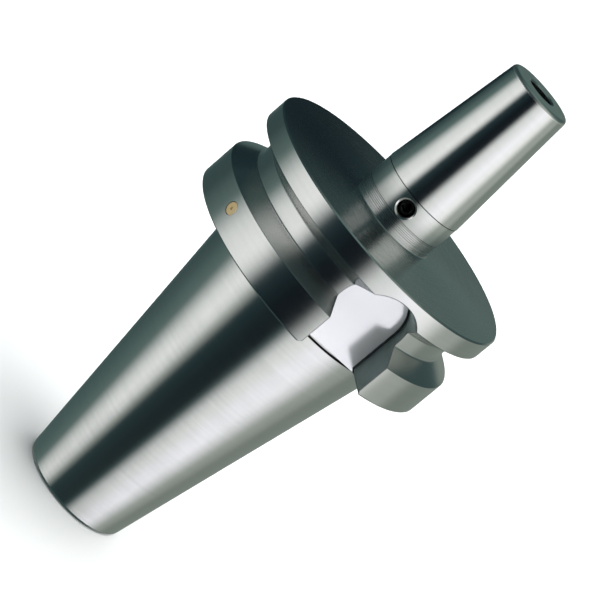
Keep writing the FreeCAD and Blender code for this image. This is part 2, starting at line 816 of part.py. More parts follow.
def build_pad(doc, sheet):
    """Build the soft pad between locking screw and adjusting screw, along its own +X axis."""
    body = add_body(
        doc,
        "locking_screw_pad",
        base=(
            "pad_start * cos(locking_azimuth * 1 deg)",
            "pad_start * sin(locking_azimuth * 1 deg)",
            "locking_position",
        ),
        turn="locking_azimuth",
    )
    section = add_sketch(body, "pad_section", "XY_Plane")
    add_outline(
        sheet,
        section,
        [
            ("0", "0"),
            ("pad_length", "0"),
            ("pad_length", "pad_diameter / 2"),
            ("0", "pad_diameter / 2"),
        ],
    )
    feature = body.newObject("PartDesign::Revolution", "pad_form")
    feature.Profile = section
    feature.ReferenceAxis = (section, ["H_Axis"])
    feature.Angle = 360.0
    doc.recompute()
    return body


def build_plug(doc, sheet, name, azimuth):
    """Build one plug of the coolant passage, along its own +X axis, with a centre mark outside."""
    body = add_body(
        doc,
        name,
        base=(
            f"plug_start * cos(({azimuth}) * 1 deg)",
            f"plug_start * sin(({azimuth}) * 1 deg)",
            "passage_position",
        ),
        turn=azimuth,
    )
    add_radial_cylinder(sheet, body, f"{name}_form", "plug_radius", "plug_length", "plug_edge_break")
    section = add_sketch(body, f"{name}_dimple_section", "XY_Plane")
    add_outline(
        sheet,
        section,
        [
            ("plug_length - plug_dimple_depth", "0"),
            ("plug_length + plug_dimple_depth", "0"),
            ("plug_length + plug_dimple_depth", "plug_dimple_diameter"),
        ],
    )
    dimple = body.newObject("PartDesign::Groove", f"{name}_dimple")
    dimple.Profile = section
    dimple.ReferenceAxis = (section, ["H_Axis"])
    dimple.Angle = 360.0
    doc.recompute()
    return body


def check_and_write(doc, bodies):
    """Stop on any broken object, then write one STEP file for each body.

    Args:
        doc: the document.
        bodies: finished bodies.
    """
    doc.recompute()
    for item in doc.Objects:
        if "Invalid" in item.State or "Error" in item.State:
            raise RuntimeError(f"{item.Name} is {item.State}")
        shape = getattr(item, "Shape", None)
        if shape is not None and not item.isDerivedFrom("App::DatumElement"):
            if shape.isNull() or not shape.isValid():
                raise RuntimeError(f"{item.Name} has no valid shape")
    os.makedirs("parts", exist_ok=True)
    for body in bodies:
        body.Shape.exportStep(os.path.join("parts", f"{body.Label}.step"))
        box = body.Shape.BoundBox
        print(
            f"{body.Label}: volume {body.Shape.Volume:.1f}, solids {len(body.Shape.Solids)}, "
            f"X {box.XMin:.2f}..{box.XMax:.2f}, Y {box.YMin:.2f}..{box.YMax:.2f}, Z {box.ZMin:.2f}..{box.ZMax:.2f}"
        )


def main():
    """Build every sub-part and write its STEP file."""
    doc = FreeCAD.newDocument("shrink_fit_chuck")
    sheet = fill_sheet(doc)
    bodies = [
        build_chuck_body(doc, sheet),
        build_adjusting_screw(doc, sheet),
        build_seal(doc, sheet),
        build_locking_screw(doc, sheet),
        build_pad(doc, sheet),
        build_plug(doc, sheet, "passage_plug_near", "passage_azimuth"),
        build_plug(doc, sheet, "passage_plug_far", "passage_azimuth + 180"),
    ]
    check_and_write(doc, bodies)


main()
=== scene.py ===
"""Visual model of a shrink fit chuck: steep taper, grooved flange with two drive slots, slim nose."""

import logging
import math
from dataclasses import dataclass, field
from enum import Enum
from typing import Sequence

import bpy
import numpy as np
from mathutils import Matrix, Vector


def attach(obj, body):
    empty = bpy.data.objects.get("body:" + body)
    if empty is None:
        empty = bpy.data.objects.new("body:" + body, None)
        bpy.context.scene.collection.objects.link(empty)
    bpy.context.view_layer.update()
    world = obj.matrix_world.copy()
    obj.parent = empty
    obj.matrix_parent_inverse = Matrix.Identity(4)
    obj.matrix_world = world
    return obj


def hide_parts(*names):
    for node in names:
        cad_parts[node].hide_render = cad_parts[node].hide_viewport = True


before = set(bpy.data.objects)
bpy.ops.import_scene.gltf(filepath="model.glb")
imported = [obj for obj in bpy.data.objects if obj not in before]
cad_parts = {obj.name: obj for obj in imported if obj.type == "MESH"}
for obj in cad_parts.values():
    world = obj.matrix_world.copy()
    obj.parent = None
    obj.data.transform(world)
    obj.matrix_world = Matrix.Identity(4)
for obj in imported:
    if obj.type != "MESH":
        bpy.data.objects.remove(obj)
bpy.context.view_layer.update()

LOG = logging.getLogger("shrink_fit_chuck")
Colour = tuple[float, float, float]
Place = tuple[float, float, float]
Row = tuple[float, float, float, float]

# Sizes are in mm until they reach a mesh, which is in metres.
MM = 0.001
# Points nearer than this are welded. The shift keeps round sizes off the borders between two cells.
WELD = 1e-4
WELD_SHIFT = 0.317
# Heights, radii and shares nearer than this are the same.
NEAR = 1e-6
TINY = 1e-9
# Farther than any point of the chuck.
FAR = 1e3
DIAGONAL = math.sqrt(0.5)

# Angles around the axis and heights that two classes share.
CAMERA_BEARING = -27.24
LOCKING_AZIMUTH = -26.0
LOCKING_HEIGHT = 47.1
PLUG_AZIMUTHS = {"near": -70.1, "far": 109.9}
PLUG_HEIGHT = 10.7


class Zone(Enum):
    """Surface finishes, in the order of the material slots of a piece."""

    TAPER = 0
    FLANGE = 1
    NOSE = 2
    SLOT = 3
    BORE = 4
    LINE = 5
    # Painted shade in creases, fine lines and steps.
    NOTCH = 6
    FACE = 7
    END_FACE = 8
    # Slot walls, with painted shade in their colour.
    WALL = 9
    # Rounded edges of the slots, with painted shade in their colour.
    SLOT_EDGE_PAINTED_SHADE = 10
    TOOL_BORE = 11
    NECK = 12


# Small helpers.


def outwards(azimuth: float) -> Place:
    """Give the direction away from the axis at an azimuth in degrees."""
    angle = math.radians(azimuth)
    return math.cos(angle), math.sin(angle), 0.0


def sideways(azimuth: float) -> Place:
    """Give the direction around the axis at an azimuth in degrees."""
    angle = math.radians(azimuth)
    return -math.sin(angle), math.cos(angle), 0.0


def axes_matrix(axes: Sequence[Sequence[float]], place: Sequence[float]) -> Matrix:
    """Give the matrix of three directions and a place in metres."""
    rows = [[*(axis[k] for axis in axes), place[k]] for k in range(3)]
    return Matrix([*rows, [0.0, 0.0, 0.0, 1.0]])


def link_new(name: str, data: bpy.types.ID) -> bpy.types.Object:
    """Add an object to the scene.

    Args:
        name: its name.
        data: its mesh, light or camera.

    Returns:
        The new object.
    """
    thing = bpy.data.objects.new(name, data)
    bpy.context.scene.collection.objects.link(thing)
    return thing


def board(
    name: str, corners: Sequence[Sequence[float]], material: bpy.types.Material
) -> bpy.types.Object:
    """Add a flat board to the scene.

    Args:
        name: its name.
        corners: its four corners, in metres.
        material: its material.

    Returns:
        The new object.
    """
    mesh = bpy.data.meshes.new(name)
    mesh.from_pydata(corners, [], [(0, 1, 2, 3)])
    mesh.materials.append(material)
    return link_new(name, mesh)


# Surfaces.


class Skin:
    """Gathers patches of a surface and welds them into one mesh with exact normals."""

    def __init__(self) -> None:
        """Start with no patches."""
        self._quads: list[np.ndarray] = []
        self._normals: list[np.ndarray] = []
        self._zones: list[np.ndarray] = []

    def grid(
        self,
        points: np.ndarray,
        normals: np.ndarray | None,
        zone: Zone,
        skip: np.ndarray | None = None,
    ) -> None:
        """Add a patch of rows and columns.

        Args:
            points: rows x columns x 3, in mm.
            normals: the same shape, or None for flat faces wound as the grid runs.
            zone: finish of the whole patch.
            skip: cells to leave out, True where nothing is added.
        """
        quads = self._cells(points)
        if normals is None:
            first, second, third, fourth = (quads[:, k] for k in range(4))
            flat = np.cross(third - first, fourth - second)
            length = np.linalg.norm(flat, axis=1, keepdims=True)
            flat = flat / np.maximum(length, TINY)
            corner_normals = np.repeat(flat[:, None, :], 4, axis=1)
        else:
            corner_normals = self._cells(normals)
        if skip is not None:
            keep = ~skip.reshape(-1)
            quads, corner_normals = quads[keep], corner_normals[keep]
        self._quads.append(quads)
        self._normals.append(corner_normals)
        self._zones.append(np.full(len(quads), zone.value))

    @staticmethod
    def _cells(values: np.ndarray) -> np.ndarray:
        """Give the four corners of each cell of a grid."""
        corners = [values[:-1, :-1], values[:-1, 1:], values[1:, 1:], values[1:, :-1]]
        return np.stack(corners, axis=2).reshape(-1, 4, 3)

    def build(self, name: str, finishes: Sequence[bpy.types.Material]) -> bpy.types.Object:
        """Weld the patches into one object.

        Args:
            name: name of the piece.
            finishes: one material for each zone in use, by the zone's number.

        Returns:
            The new object, linked to the scene.
        """
        quads = np.concatenate(self._quads)
        normals = np.concatenate(self._normals)
        zones = np.concatenate(self._zones)
        facing = np.cross(quads[:, 2] - quads[:, 0], quads[:, 3] - quads[:, 1])
        turned = (facing * normals.sum(axis=1)).sum(axis=1) < 0
        quads[turned] = quads[turned][:, ::-1]
        normals[turned] = normals[turned][:, ::-1]

        flat_points = quads.reshape(-1, 3)
        keys = np.round(flat_points / WELD + WELD_SHIFT).astype(np.int64)
        _, first, inverse = np.unique(keys, axis=0, return_index=True, return_inverse=True)
        corners = inverse.reshape(-1, 4)
        faces, face_zones, corner_normals = [], [], []
        for ids, directions, zone in zip(corners.tolist(), normals.tolist(), zones.tolist()):
            kept = [k for k in range(4) if ids[k] != ids[k - 1]]
            if len({ids[k] for k in kept}) < 3:
                continue
            faces.append([ids[k] for k in kept])
            corner_normals.extend(directions[k] for k in kept)
            face_zones.append(zone)
        mesh = bpy.data.meshes.new(name)
        mesh.from_pydata((flat_points[first] * MM).tolist(), [], faces)
        for finish in finishes:
            mesh.materials.append(finish)
        mesh.polygons.foreach_set("material_index", face_zones)
        mesh.polygons.foreach_set("use_smooth", [True] * len(faces))
        mesh.normals_split_custom_set(corner_normals)
        mesh.update()
        self._report_edges(name, faces)
        return link_new(name, mesh)

    @staticmethod
    def _report_edges(name: str, faces: Sequence[Sequence[int]]) -> None:
        """Log how many edges don't join exactly two faces.

        Args:
            name: name of the piece.
            faces: vertex numbers of each face.
        """
        uses: dict[tuple[int, int], int] = {}
        for face in faces:
            for a, b in zip(face, face[1:] + face[:1]):
                key = (a, b) if a < b else (b, a)
                uses[key] = uses.get(key, 0) + 1
        open_edges = sum(1 for count in uses.values() if count != 2)
        LOG.info("%s: %d faces, %d edges not shared by two", name, len(faces), open_edges)


@dataclass(frozen=True)
class Corner:
    """One corner of a turned profile: radius, height, rounding and the finish that follows it."""

    r: float
    z: float
    rounding: float
    zone: Zone


@dataclass
class Span:
    """A smooth stretch of a profile, with its normals."""

    r: np.ndarray
    z: np.ndarray
    nr: np.ndarray
    nz: np.ndarray
    zone: Zone


def rounded_profile(corners: Sequence[Corner], step: float = 12.0) -> list[Span]:
    """Round the corners of a closed profile.

    Args:
        corners: the corners in order, with the solid on the left of the path.
        step: largest turn between two points of an arc, in degrees.

    Returns:
        The straight and curved spans in order.
    """
    places = np.array([[c.r, c.z] for c in corners])
    count = len(corners)
    forward = np.roll(places, -1, axis=0) - places
    forward /= np.linalg.norm(forward, axis=1, keepdims=True)
    spans: list[Span] = []
    starts, ends, arcs = [], [], []
    for k in range(count):
        come, leave = forward[k - 1], forward[k]
        turn = math.atan2(come[0] * leave[1] - come[1] * leave[0], float(come @ leave))
        reach = corners[k].rounding * math.tan(abs(turn) / 2)
        starts.append(places[k] - come * reach)
        ends.append(places[k] + leave * reach)
        arcs.append(turn)
    for k in range(count):
        come, leave = forward[k - 1], forward[k]
        if corners[k].rounding > 0:
            side = 1.0 if arcs[k] > 0 else -1.0
            normal_in = np.array([come[1], -come[0]])
            centre = starts[k] - side * corners[k].rounding * normal_in
            pieces = max(2, math.ceil(math.degrees(abs(arcs[k])) / step))
            angles = math.atan2(normal_in[1], normal_in[0]) + np.linspace(0, arcs[k], pieces + 1)
            nr, nz = np.cos(angles), np.sin(angles)
            r = centre[0] + side * corners[k].rounding * nr
            z = centre[1] + side * corners[k].rounding * nz
            r[0], z[0] = starts[k]
            r[-1], z[-1] = ends[k]
            spans.append(Span(r, z, nr, nz, corners[k].zone))
        following = (k + 1) % count
        a, b = ends[k], starts[following]
        if np.linalg.norm(b - a) > NEAR:
            nr, nz = np.full(2, leave[1]), np.full(2, -leave[0])
            r, z = np.array([a, b]).T
            spans.append(Span(r, z, nr, nz, corners[k].zone))
    return spans


def divide(span: Span, cuts: Sequence[float]) -> Span:
    """Add rows to a straight span.

    Args:
        span: a span of two rows.
        cuts: where the rows go, as shares of its length between 0 and 1.

    Returns:
        The span with its first and last row and the new ones.
    """
    shares = np.array(sorted({0.0, 1.0, *[c for c in cuts if NEAR < c < 1 - NEAR]}))

    def between(values: np.ndarray) -> np.ndarray:
        """Interpolate, with both ends kept exactly.

        Args:
            values: values of which the first and last count.

        Returns:
            A value for each share.
        """
        out = values[0] + (values[-1] - values[0]) * shares
        out[0], out[-1] = values[0], values[-1]
        return out

    return Span(between(span.r), between(span.z), between(span.nr), between(span.nz), span.zone)


def placed(local: np.ndarray, frame_axes: np.ndarray, origin: np.ndarray) -> np.ndarray:
    """Turn local coordinates into the object's frame."""
    return origin + local @ frame_axes


# Holes.


@dataclass
class Hole:
    """A round blind hole in the body, in its own frame: across, along and outward.

    A countersink of one width all round has a break_width and a break_depth. Without them the
    countersink slopes at 45 degrees from the height chamfer_from up to the surface.
    """

    origin: tuple[float, float, float]
    outward: tuple[float, float, float]
    across: tuple[float, float, float]
    radius: float
    bottom: float
    chamfer_from: float = 0.0
    break_width: float = 0.0
    break_depth: float = 0.0
    surface_radius: float = 0.0
    point: float = 0.0
    margin: float = 0.35
    bridge_shares: tuple[float, ...] = (0.0, 0.34, 0.67, 1.0)
    mouth_rounds: int = 30

    def axes(self) -> np.ndarray:
        """Give the three directions: across, along the other side, and outward."""
        outward, across = np.array(self.outward), np.array(self.across)
        return np.array([across, np.cross(outward, across), outward])

    def local(self, points: np.ndarray) -> np.ndarray:
        """Give points in the hole's own directions."""
        return (points - np.array(self.origin)) @ self.axes().T

    def height(self, u: np.ndarray) -> np.ndarray:
        """Give the height of the pierced surface.

        Args:
            u: distances across the hole's axis.

        Returns:
            The heights.
        """
        if self.surface_radius == 0.0:
            return np.zeros_like(u)
        return np.sqrt(self.surface_radius**2 - u**2)

    def surface(self, u: np.ndarray, v: np.ndarray) -> tuple[np.ndarray, np.ndarray]:
        """Place points on the pierced surface.

        Args:
            u: distances across.
            v: distances along the other side.

        Returns:
            Points and normals, both in the object's frame.
        """
        w = self.height(u)
        flat = np.stack([u, v, w], axis=-1)
        normal = np.zeros_like(flat)
        normal[..., 2] = 1.0
        if self.surface_radius:
            normal[..., 0] = u / self.surface_radius
            normal[..., 2] = w / self.surface_radius
        return placed(flat, self.axes(), np.array(self.origin)), normal @ self.axes()

    def mouth(self, angle: np.ndarray) -> np.ndarray:
        """Give the radius at which the countersink meets the surface.

        Args:
            angle: angles around the hole's axis.

        Returns:
            The radius at each angle.
        """
        radius = np.full_like(angle, self.radius + self.break_width)
        if self.break_width:
            return radius
        for _ in range(self.mouth_rounds):
            rise = self.height(radius * np.cos(angle)) - self.chamfer_from
            radius = self.radius + np.maximum(0.0, rise)
        return radius

    def cut(self, skin: Skin, points: np.ndarray, zone: Zone) -> np.ndarray:
        """Open the hole in a patch and line it.

        Args:
            skin: takes the new faces.
            points: the patch, rows x columns x 3.
            zone: finish of the pierced surface.

        Returns:
            The cells of the patch that the hole takes away.
        """
        inside = self.local(points)
        left, right, top, low = self._window(inside)
        skip = np.zeros((points.shape[0] - 1, points.shape[1] - 1), dtype=bool)
        skip[top:low, left:right] = True
        rim = [(top, j) for j in range(left, right)] + [(i, right) for i in range(top, low)]
        rim += [(low, j) for j in range(right, left, -1)] + [(i, left) for i in range(low, top, -1)]
        rim.append(rim[0])
        edge = np.array([points[i, j] for i, j in rim])
        flat = self.local(edge)
        angle = np.arctan2(flat[:, 1], flat[:, 0])
        mouth = self.mouth(angle)
        ring_u, ring_v = mouth * np.cos(angle), mouth * np.sin(angle)
        bridge, normals = [], []
        for share in self.bridge_shares:
            u = flat[:, 0] * (1 - share) + ring_u * share
            v = flat[:, 1] * (1 - share) + ring_v * share
            place, normal = self.surface(u, v)
            bridge.append(edge if share == 0.0 else place)
            normals.append(normal)
        skin.grid(np.array(bridge), np.array(normals), zone)
        self._line(skin, angle, mouth)
        return skip

    def _window(self, inside: np.ndarray) -> tuple[int, int, int, int]:
        """Find the rows and columns of a patch just outside the hole's mouth.

        Args:
            inside: the patch in the hole's own directions.

        Returns:
            The first and last column and the first and last row.
        """
        widening = self.break_width or max(0.0, float(self.height(np.zeros(1))[0]) - self.chamfer_from)
        reach = self.radius + self.margin + widening
        away = FAR * (inside[..., 2] <= self.bottom)
        half = len(inside) // 2
        along = inside[:, int(np.argmin(np.abs(inside[half, :, 0]) + away[half])), 1]
        rows = [int(np.argmin(np.abs(along - side * reach))) for side in (-1, 1)]
        middle = int(np.argmin(np.abs(along)))
        across = inside[middle, :, 0] + away[middle]
        columns = [int(np.argmin(np.abs(across - side * reach))) for side in (-1, 1)]
        return min(columns), max(columns), min(rows), max(rows)

    def _line(self, skin: Skin, angle: np.ndarray, mouth: np.ndarray) -> None:
        """Add the countersink, the wall and the bottom.

        Args:
            skin: takes the new faces.
            angle: angle of each point around the axis.
            mouth: radius of the opening at each angle.
        """
        axes, origin = self.axes(), np.array(self.origin)
        cos, sin = np.cos(angle), np.sin(angle)

        def ring(radius: np.ndarray, height: np.ndarray) -> np.ndarray:
            """Place a ring of points."""
            return placed(np.stack([radius * cos, radius * sin, height], axis=-1), axes, origin)

        def lean(inward: float | np.ndarray, outward: float | np.ndarray) -> np.ndarray:
            """Give normals that lean between the axis and the outside."""
            flat = np.stack([-inward * cos, -inward * sin, outward + 0 * cos], axis=-1)
            return flat @ axes

        def strip(first: np.ndarray, second: np.ndarray, normal: np.ndarray, zone: Zone) -> None:
            """Add the faces between two rings."""
            skin.grid(np.array([first, second]), np.array([normal] * 2), zone)

        wall, low = np.full_like(angle, self.radius), np.full_like(angle, self.bottom)
        top, edge = self.height(mouth * cos), self.height(wall * cos)
        start = edge - self.break_depth if self.break_width else np.minimum(edge, self.chamfer_from)
        drop, run = top - start, mouth - wall
        length = np.maximum(np.hypot(drop, run), TINY)
        strip(ring(mouth, top), ring(wall, start), lean(drop / length, run / length), Zone.LINE)
        strip(ring(wall, start), ring(wall, low), lean(1, 0), Zone.BORE)
        tip = np.full_like(angle, self.bottom - self.point)
        tilt = math.hypot(self.point, self.radius)
        strip(ring(wall, low), ring(wall * 0, tip), lean(self.point / tilt, self.radius / tilt), Zone.BORE)


# Drive slots.


@dataclass
class DriveSlot:
    """One drive slot: flat floor, straight walls, full round front end."""

    half_width: float = 12.85
    floor: float = 35.4
    end_centre: float = 21.75
    rear: float = 3.0
    edge: float = 0.35
    edge_run: float = 1.2
    corner: float = 0.6
    lead_in: float = 1.3
    floor_break: float = 0.18
    row_pitch: float = 0.55
    turn_step: float = 3.0
    floor_levels: int = 10
    corner_levels: int = 5
    wall_levels: int = 20
    edge_levels: int = 4

    @property
    def outer_round(self) -> float:
        """Radius of the front end where it meets the rim."""
        return self.half_width + self.edge

    @property
    def tip(self) -> float:
        """Height of the slot's front end on the rim."""
        return self.end_centre + self.outer_round

    def edge_at(self, z: np.ndarray) -> np.ndarray:
        """Give the width of the rounded edge at a height, nothing at the rear face."""
        return self.edge * np.clip((z - self.rear) / self.edge_run, 0.0, 1.0)

    def half_at(self, z: np.ndarray) -> np.ndarray:
        """Give half the slot's width at a height, wider in the lead-in at the rear face."""
        return self.half_width + np.maximum(0.0, self.rear + self.lead_in - z)

    def floor_at(self, z: np.ndarray) -> np.ndarray:
        """Give the floor's distance from the axis at a height, less in the break at the rear face."""
        return self.floor - np.maximum(0.0, self.rear + self.floor_break - z)

    def turn_at(self, z: np.ndarray) -> np.ndarray:
        """Give how far round the front end a height on the rim lies, 0 on the straight part."""
        return np.arcsin(np.clip((z - self.end_centre) / self.outer_round, 0.0, 1.0))

    def opening(self, z: np.ndarray) -> np.ndarray:
        """Give half the width of the opening on the outer surface.

        Args:
            z: heights.

        Returns:
            Half the width at each height.
        """
        straight = self.half_at(z) + self.edge_at(z)
        curved = self.outer_round * np.cos(self.turn_at(z))
        return np.where(z > self.end_centre, curved, straight)

    def section(self, top: float, z: float) -> tuple[np.ndarray, np.ndarray]:
        """Give the slot's cross-section, from the middle of the floor up one wall.

        Args:
            top: distance of the wall's upper edge from the axis plane.
            z: height of the section.

        Returns:
            Heights above the axis and distances from the wall line.
        """
        half, floor = float(self.half_at(z)), float(self.floor_at(z))
        bend = np.linspace(0, math.pi / 2, self.corner_levels + 1)
        flat = (half - self.corner) * np.linspace(0, 1, self.floor_levels + 1)
        heights = [
            np.full(self.floor_levels + 1, floor),
            floor + self.corner * (1 - np.cos(bend)),
            np.linspace(floor + self.corner, top, self.wall_levels + 1),
        ]
        insets = [
            half - flat,
            self.corner * (1 - np.sin(bend)),
            np.zeros(self.wall_levels + 1),
        ]
        return np.concatenate(heights), np.concatenate(insets)

    def cuts(self, low: float, high: float) -> list[float]:
        """Give the heights between two others at which the rim needs rows.

        Args:
            low: lower height.
            high: upper height.

        Returns:
            Heights in rising order.
        """
        turns = np.radians(np.arange(self.turn_step, 90.0, self.turn_step))
        levels = [*np.arange(self.rear, self.end_centre, self.row_pitch), self.end_centre]
        levels += [self.rear + self.floor_break, self.rear + self.lead_in]
        levels += [*(self.end_centre + self.outer_round * np.sin(turns)), self.tip]
        return sorted(z for z in levels if low + WELD < z < high - WELD)

    def line(self, skin: Skin, r: np.ndarray, z: np.ndarray, nr: np.ndarray, nz: np.ndarray) -> None:
        """Add both slots' edges, walls, corners and floors.

        Args:
            skin: takes the new faces.
            r: radius of each row of the outer surface, from the rear face to the slot's tip.
            z: height of each row.
            nr: radial part of each row's normal.
            nz: axial part of each row's normal.
        """
        level, sloped = np.array([1.0, 0.0, 0.0]), np.array([DIAGONAL, 0.0, -DIAGONAL])
        breaks = [-math.inf, self.rear + self.floor_break, self.rear + self.lead_in, math.inf]
        for k, (low, high) in enumerate(zip(breaks, breaks[1:])):
            part = (z > low - NEAR) & (z < high + NEAR)
            up = sloped if k == 0 else level
            self._line_part(skin, *(values[part] for values in (r, z, nr, nz)), up, k < 2)

    def _line_part(
        self,
        skin: Skin,
        r: np.ndarray,
        z: np.ndarray,
        nr: np.ndarray,
        nz: np.ndarray,
        up: np.ndarray,
        leads_in: bool,
    ) -> None:
        """Add the edges, walls, corners and floors between two heights.

        Args:
            skin: takes the new faces.
            r: radius of each row of the outer surface.
            z: height of each row.
            nr: radial part of each row's normal.
            nz: axial part of each row's normal.
            up: normal of the floor.
            leads_in: True where the walls open outwards to the rear.
        """
        turn = self.turn_at(z)
        round_end = z > self.end_centre
        side = np.where(round_end, np.cos(turn), 1.0)
        ahead = np.where(round_end, np.sin(turn), 0.0)
        base = np.where(round_end, self.end_centre, z)
        half = self.half_at(z)
        width = self.opening(z)
        on_rim = np.stack([np.sqrt(r**2 - width**2), width, z], axis=-1)
        y_in = half * side
        z_in = base + half * ahead
        r_in = np.where(round_end, np.interp(z_in, z, r), r)
        x_in = np.sqrt(r_in**2 - y_in**2)
        corner = np.stack([x_in, y_in, z_in], axis=-1)
        under = corner - np.stack([self.edge_at(z), 0 * z, 0 * z], axis=-1)
        lean = DIAGONAL if leads_in else 1.0
        toward = np.stack([0 * z, -side * lean, -ahead - (lean if leads_in else 0.0)], axis=-1)
        outer_normal = np.stack([nr * on_rim[:, 0] / r, nr * width / r, nz], axis=-1)
        strip, strip_normals = [], []
        for t in np.linspace(0.0, 1.0, self.edge_levels + 1):
            strip.append((1 - t) ** 2 * on_rim + 2 * t * (1 - t) * corner + t * t * under)
            blend = (1 - t) * outer_normal + t * toward
            strip_normals.append(blend / np.linalg.norm(blend, axis=-1, keepdims=True))
        strip[0], strip[-1] = on_rim, under

        sections = [self.section(float(top), float(height)) for top, height in zip(under[:, 0], z)]
        height = np.array([levels for levels, _ in sections]).T
        inset = np.array([insets for _, insets in sections]).T
        walls = np.stack([height, (half - inset) * side, base + (half - inset) * ahead], axis=-1)
        f, c = self.floor_levels + 1, self.corner_levels + 1
        bends = np.linspace(0, math.pi / 2, c)[:, None, None]
        # The sloped lead-in floor and the corners below take the notch finish, which is painted shade.
        floor_zone = Zone.SLOT if up[2] == 0.0 else Zone.NOTCH
        parts = (
            (walls[:f], np.broadcast_to(up, walls[:f].shape), floor_zone),
            (walls[f : f + c], np.cos(bends) * up + np.sin(bends) * toward, Zone.NOTCH),
            # The walls take painted shade in their colour.
            (walls[f + c :], np.broadcast_to(toward, walls[f + c :].shape), Zone.WALL),
            # The edge strip takes painted shade.
            (np.array(strip), np.array(strip_normals), Zone.SLOT_EDGE_PAINTED_SHADE),
        )
        for points, normals, zone in parts:
            for mirror in (1.0, -1.0):
                for turn_sign in (1.0, -1.0):
                    flip = np.array([turn_sign, turn_sign * mirror, 1.0])
                    skin.grid(points * flip, normals * flip, zone)


# Finishes.


def linear(colour: tuple[int, int, int]) -> Colour:
    """Turn a screen colour into linear light.

    Args:
        colour: red, green and blue, 0 to 255.

    Returns:
        The three channels, 0 to 1.
    """

    def channel(value: float) -> float:
        """Turn one channel."""
        share = value / 255
        return share / 12.92 if share <= 0.04045 else ((share + 0.055) / 1.055) ** 2.4

    return tuple(channel(v) for v in colour)


class Wiring:
    """Short ways to add and join nodes in one tree."""

    def __init__(self, tree: bpy.types.NodeTree) -> None:
        """Keep the tree."""
        self.tree = tree

    def add(
        self, kind: str, inputs: dict[object, object] | None = None, **settings: object
    ) -> bpy.types.Node:
        """Add a node.

        Args:
            kind: the node's type name.
            inputs: for each socket, by name or number, a value or the socket to join to it.
            settings: attributes of the node.

        Returns:
            The new node.
        """
        node = self.tree.nodes.new(kind)
        for key, value in settings.items():
            setattr(node, key, value)
        for key, value in (inputs or {}).items():
            socket = node.inputs[key]
            if isinstance(value, bpy.types.NodeSocket):
                self.tree.links.new(value, socket)
            else:
                socket.default_value = value
        return node

    def maths(self, operation: str, *values: object) -> bpy.types.NodeSocket:
        """Add a Math node and give its result."""
        return self.add("ShaderNodeMath", dict(enumerate(values)), operation=operation).outputs[0]

    def times(self, first: object, second: object) -> bpy.types.NodeSocket:
        """Multiply two values."""
        return self.maths("MULTIPLY", first, second)

    def weigh(self, first: object, second: object, shares: tuple[float, float]) -> bpy.types.NodeSocket:
        """Add two values, each times its share."""
        return self.maths("ADD", self.times(first, shares[0]), self.times(second, shares[1]))

    def noise(self, place: object, scale: float, **inputs: float) -> bpy.types.NodeSocket:
        """Add a Noise Texture and give its value."""
        return self.add("ShaderNodeTexNoise", {"Vector": place, "Scale": scale, **inputs}).outputs[0]

    def blend(self, factor: object, first: object, second: object) -> bpy.types.NodeSocket:
        """Add a Mix node for colours and give its result."""
        return self.add("ShaderNodeMix", {0: factor, 6: first, 7: second}, data_type="RGBA").outputs[2]

    def rescale(
        self,
        value: object,
        source: tuple[float, float],
        target: tuple[float, float],
        smooth: bool = False,
    ) -> bpy.types.NodeSocket:
        """Add a Map Range node.

        Args:
            value: what is rescaled.
            source: the range that it comes in.
            target: the range that it is turned into.
            smooth: True for a soft start and end.

        Returns:
            The rescaled value.
        """
        ends = dict(zip(("From Min", "From Max", "To Min", "To Max"), (*source, *target)))
        kind = "SMOOTHSTEP" if smooth else "LINEAR"
        node = self.add("ShaderNodeMapRange", {"Value": value, **ends}, interpolation_type=kind)
        return node.outputs[0]

    def ramp(
        self, factor: bpy.types.NodeSocket, stops: Sequence[tuple[float, Colour]]
    ) -> bpy.types.NodeSocket:
        """Add a colour ramp.

        Args:
            factor: where on the ramp to read.
            stops: position and colour of each stop, in rising order.

        Returns:
            The colour.
        """
        node = self.add("ShaderNodeValToRGB", {"Fac": factor})
        elements = node.color_ramp.elements
        while len(elements) > 1:
            elements.remove(elements[-1])
        elements[0].position, elements[0].color = stops[0][0], (*stops[0][1], 1.0)
        for position, colour in stops[1:]:
            elements.new(position).color = (*colour, 1.0)
        return node.outputs["Color"]


def new_material(name: str) -> tuple[bpy.types.Material, Wiring]:
    """Make a material with an empty node tree.

    Args:
        name: name of the material.

    Returns:
        The material and its wiring.
    """
    material = bpy.data.materials.new(name)
    material.use_nodes = True
    material.node_tree.nodes.clear()
    return material, Wiring(material.node_tree)


class Marks(Enum):
    """Which way the fine marks of machining run."""

    AROUND = "around"
    LENGTHWISE = "lengthwise"
    EVEN = "even"


# How much of each direction the noise keeps along the marks: the less, the longer the marks.
KEPT_AROUND = 0.012
KEPT_RADIUS = 0.81
KEPT_ACROSS = 0.4
KEPT_LENGTHWISE = 0.03
# Size of the broad marks against the fine ones, and the shares of a large and a small layer.
BROAD_SCALE = 0.14
LAYER_SHARES = (0.6, 0.4)
STAIN_RANGE = (0.36, 0.62)
GLOSS_RANGE = (0.34, 0.66)
# Turns the long axis of the highlight along the chuck's axis.
GRAIN_TURN = 0.25


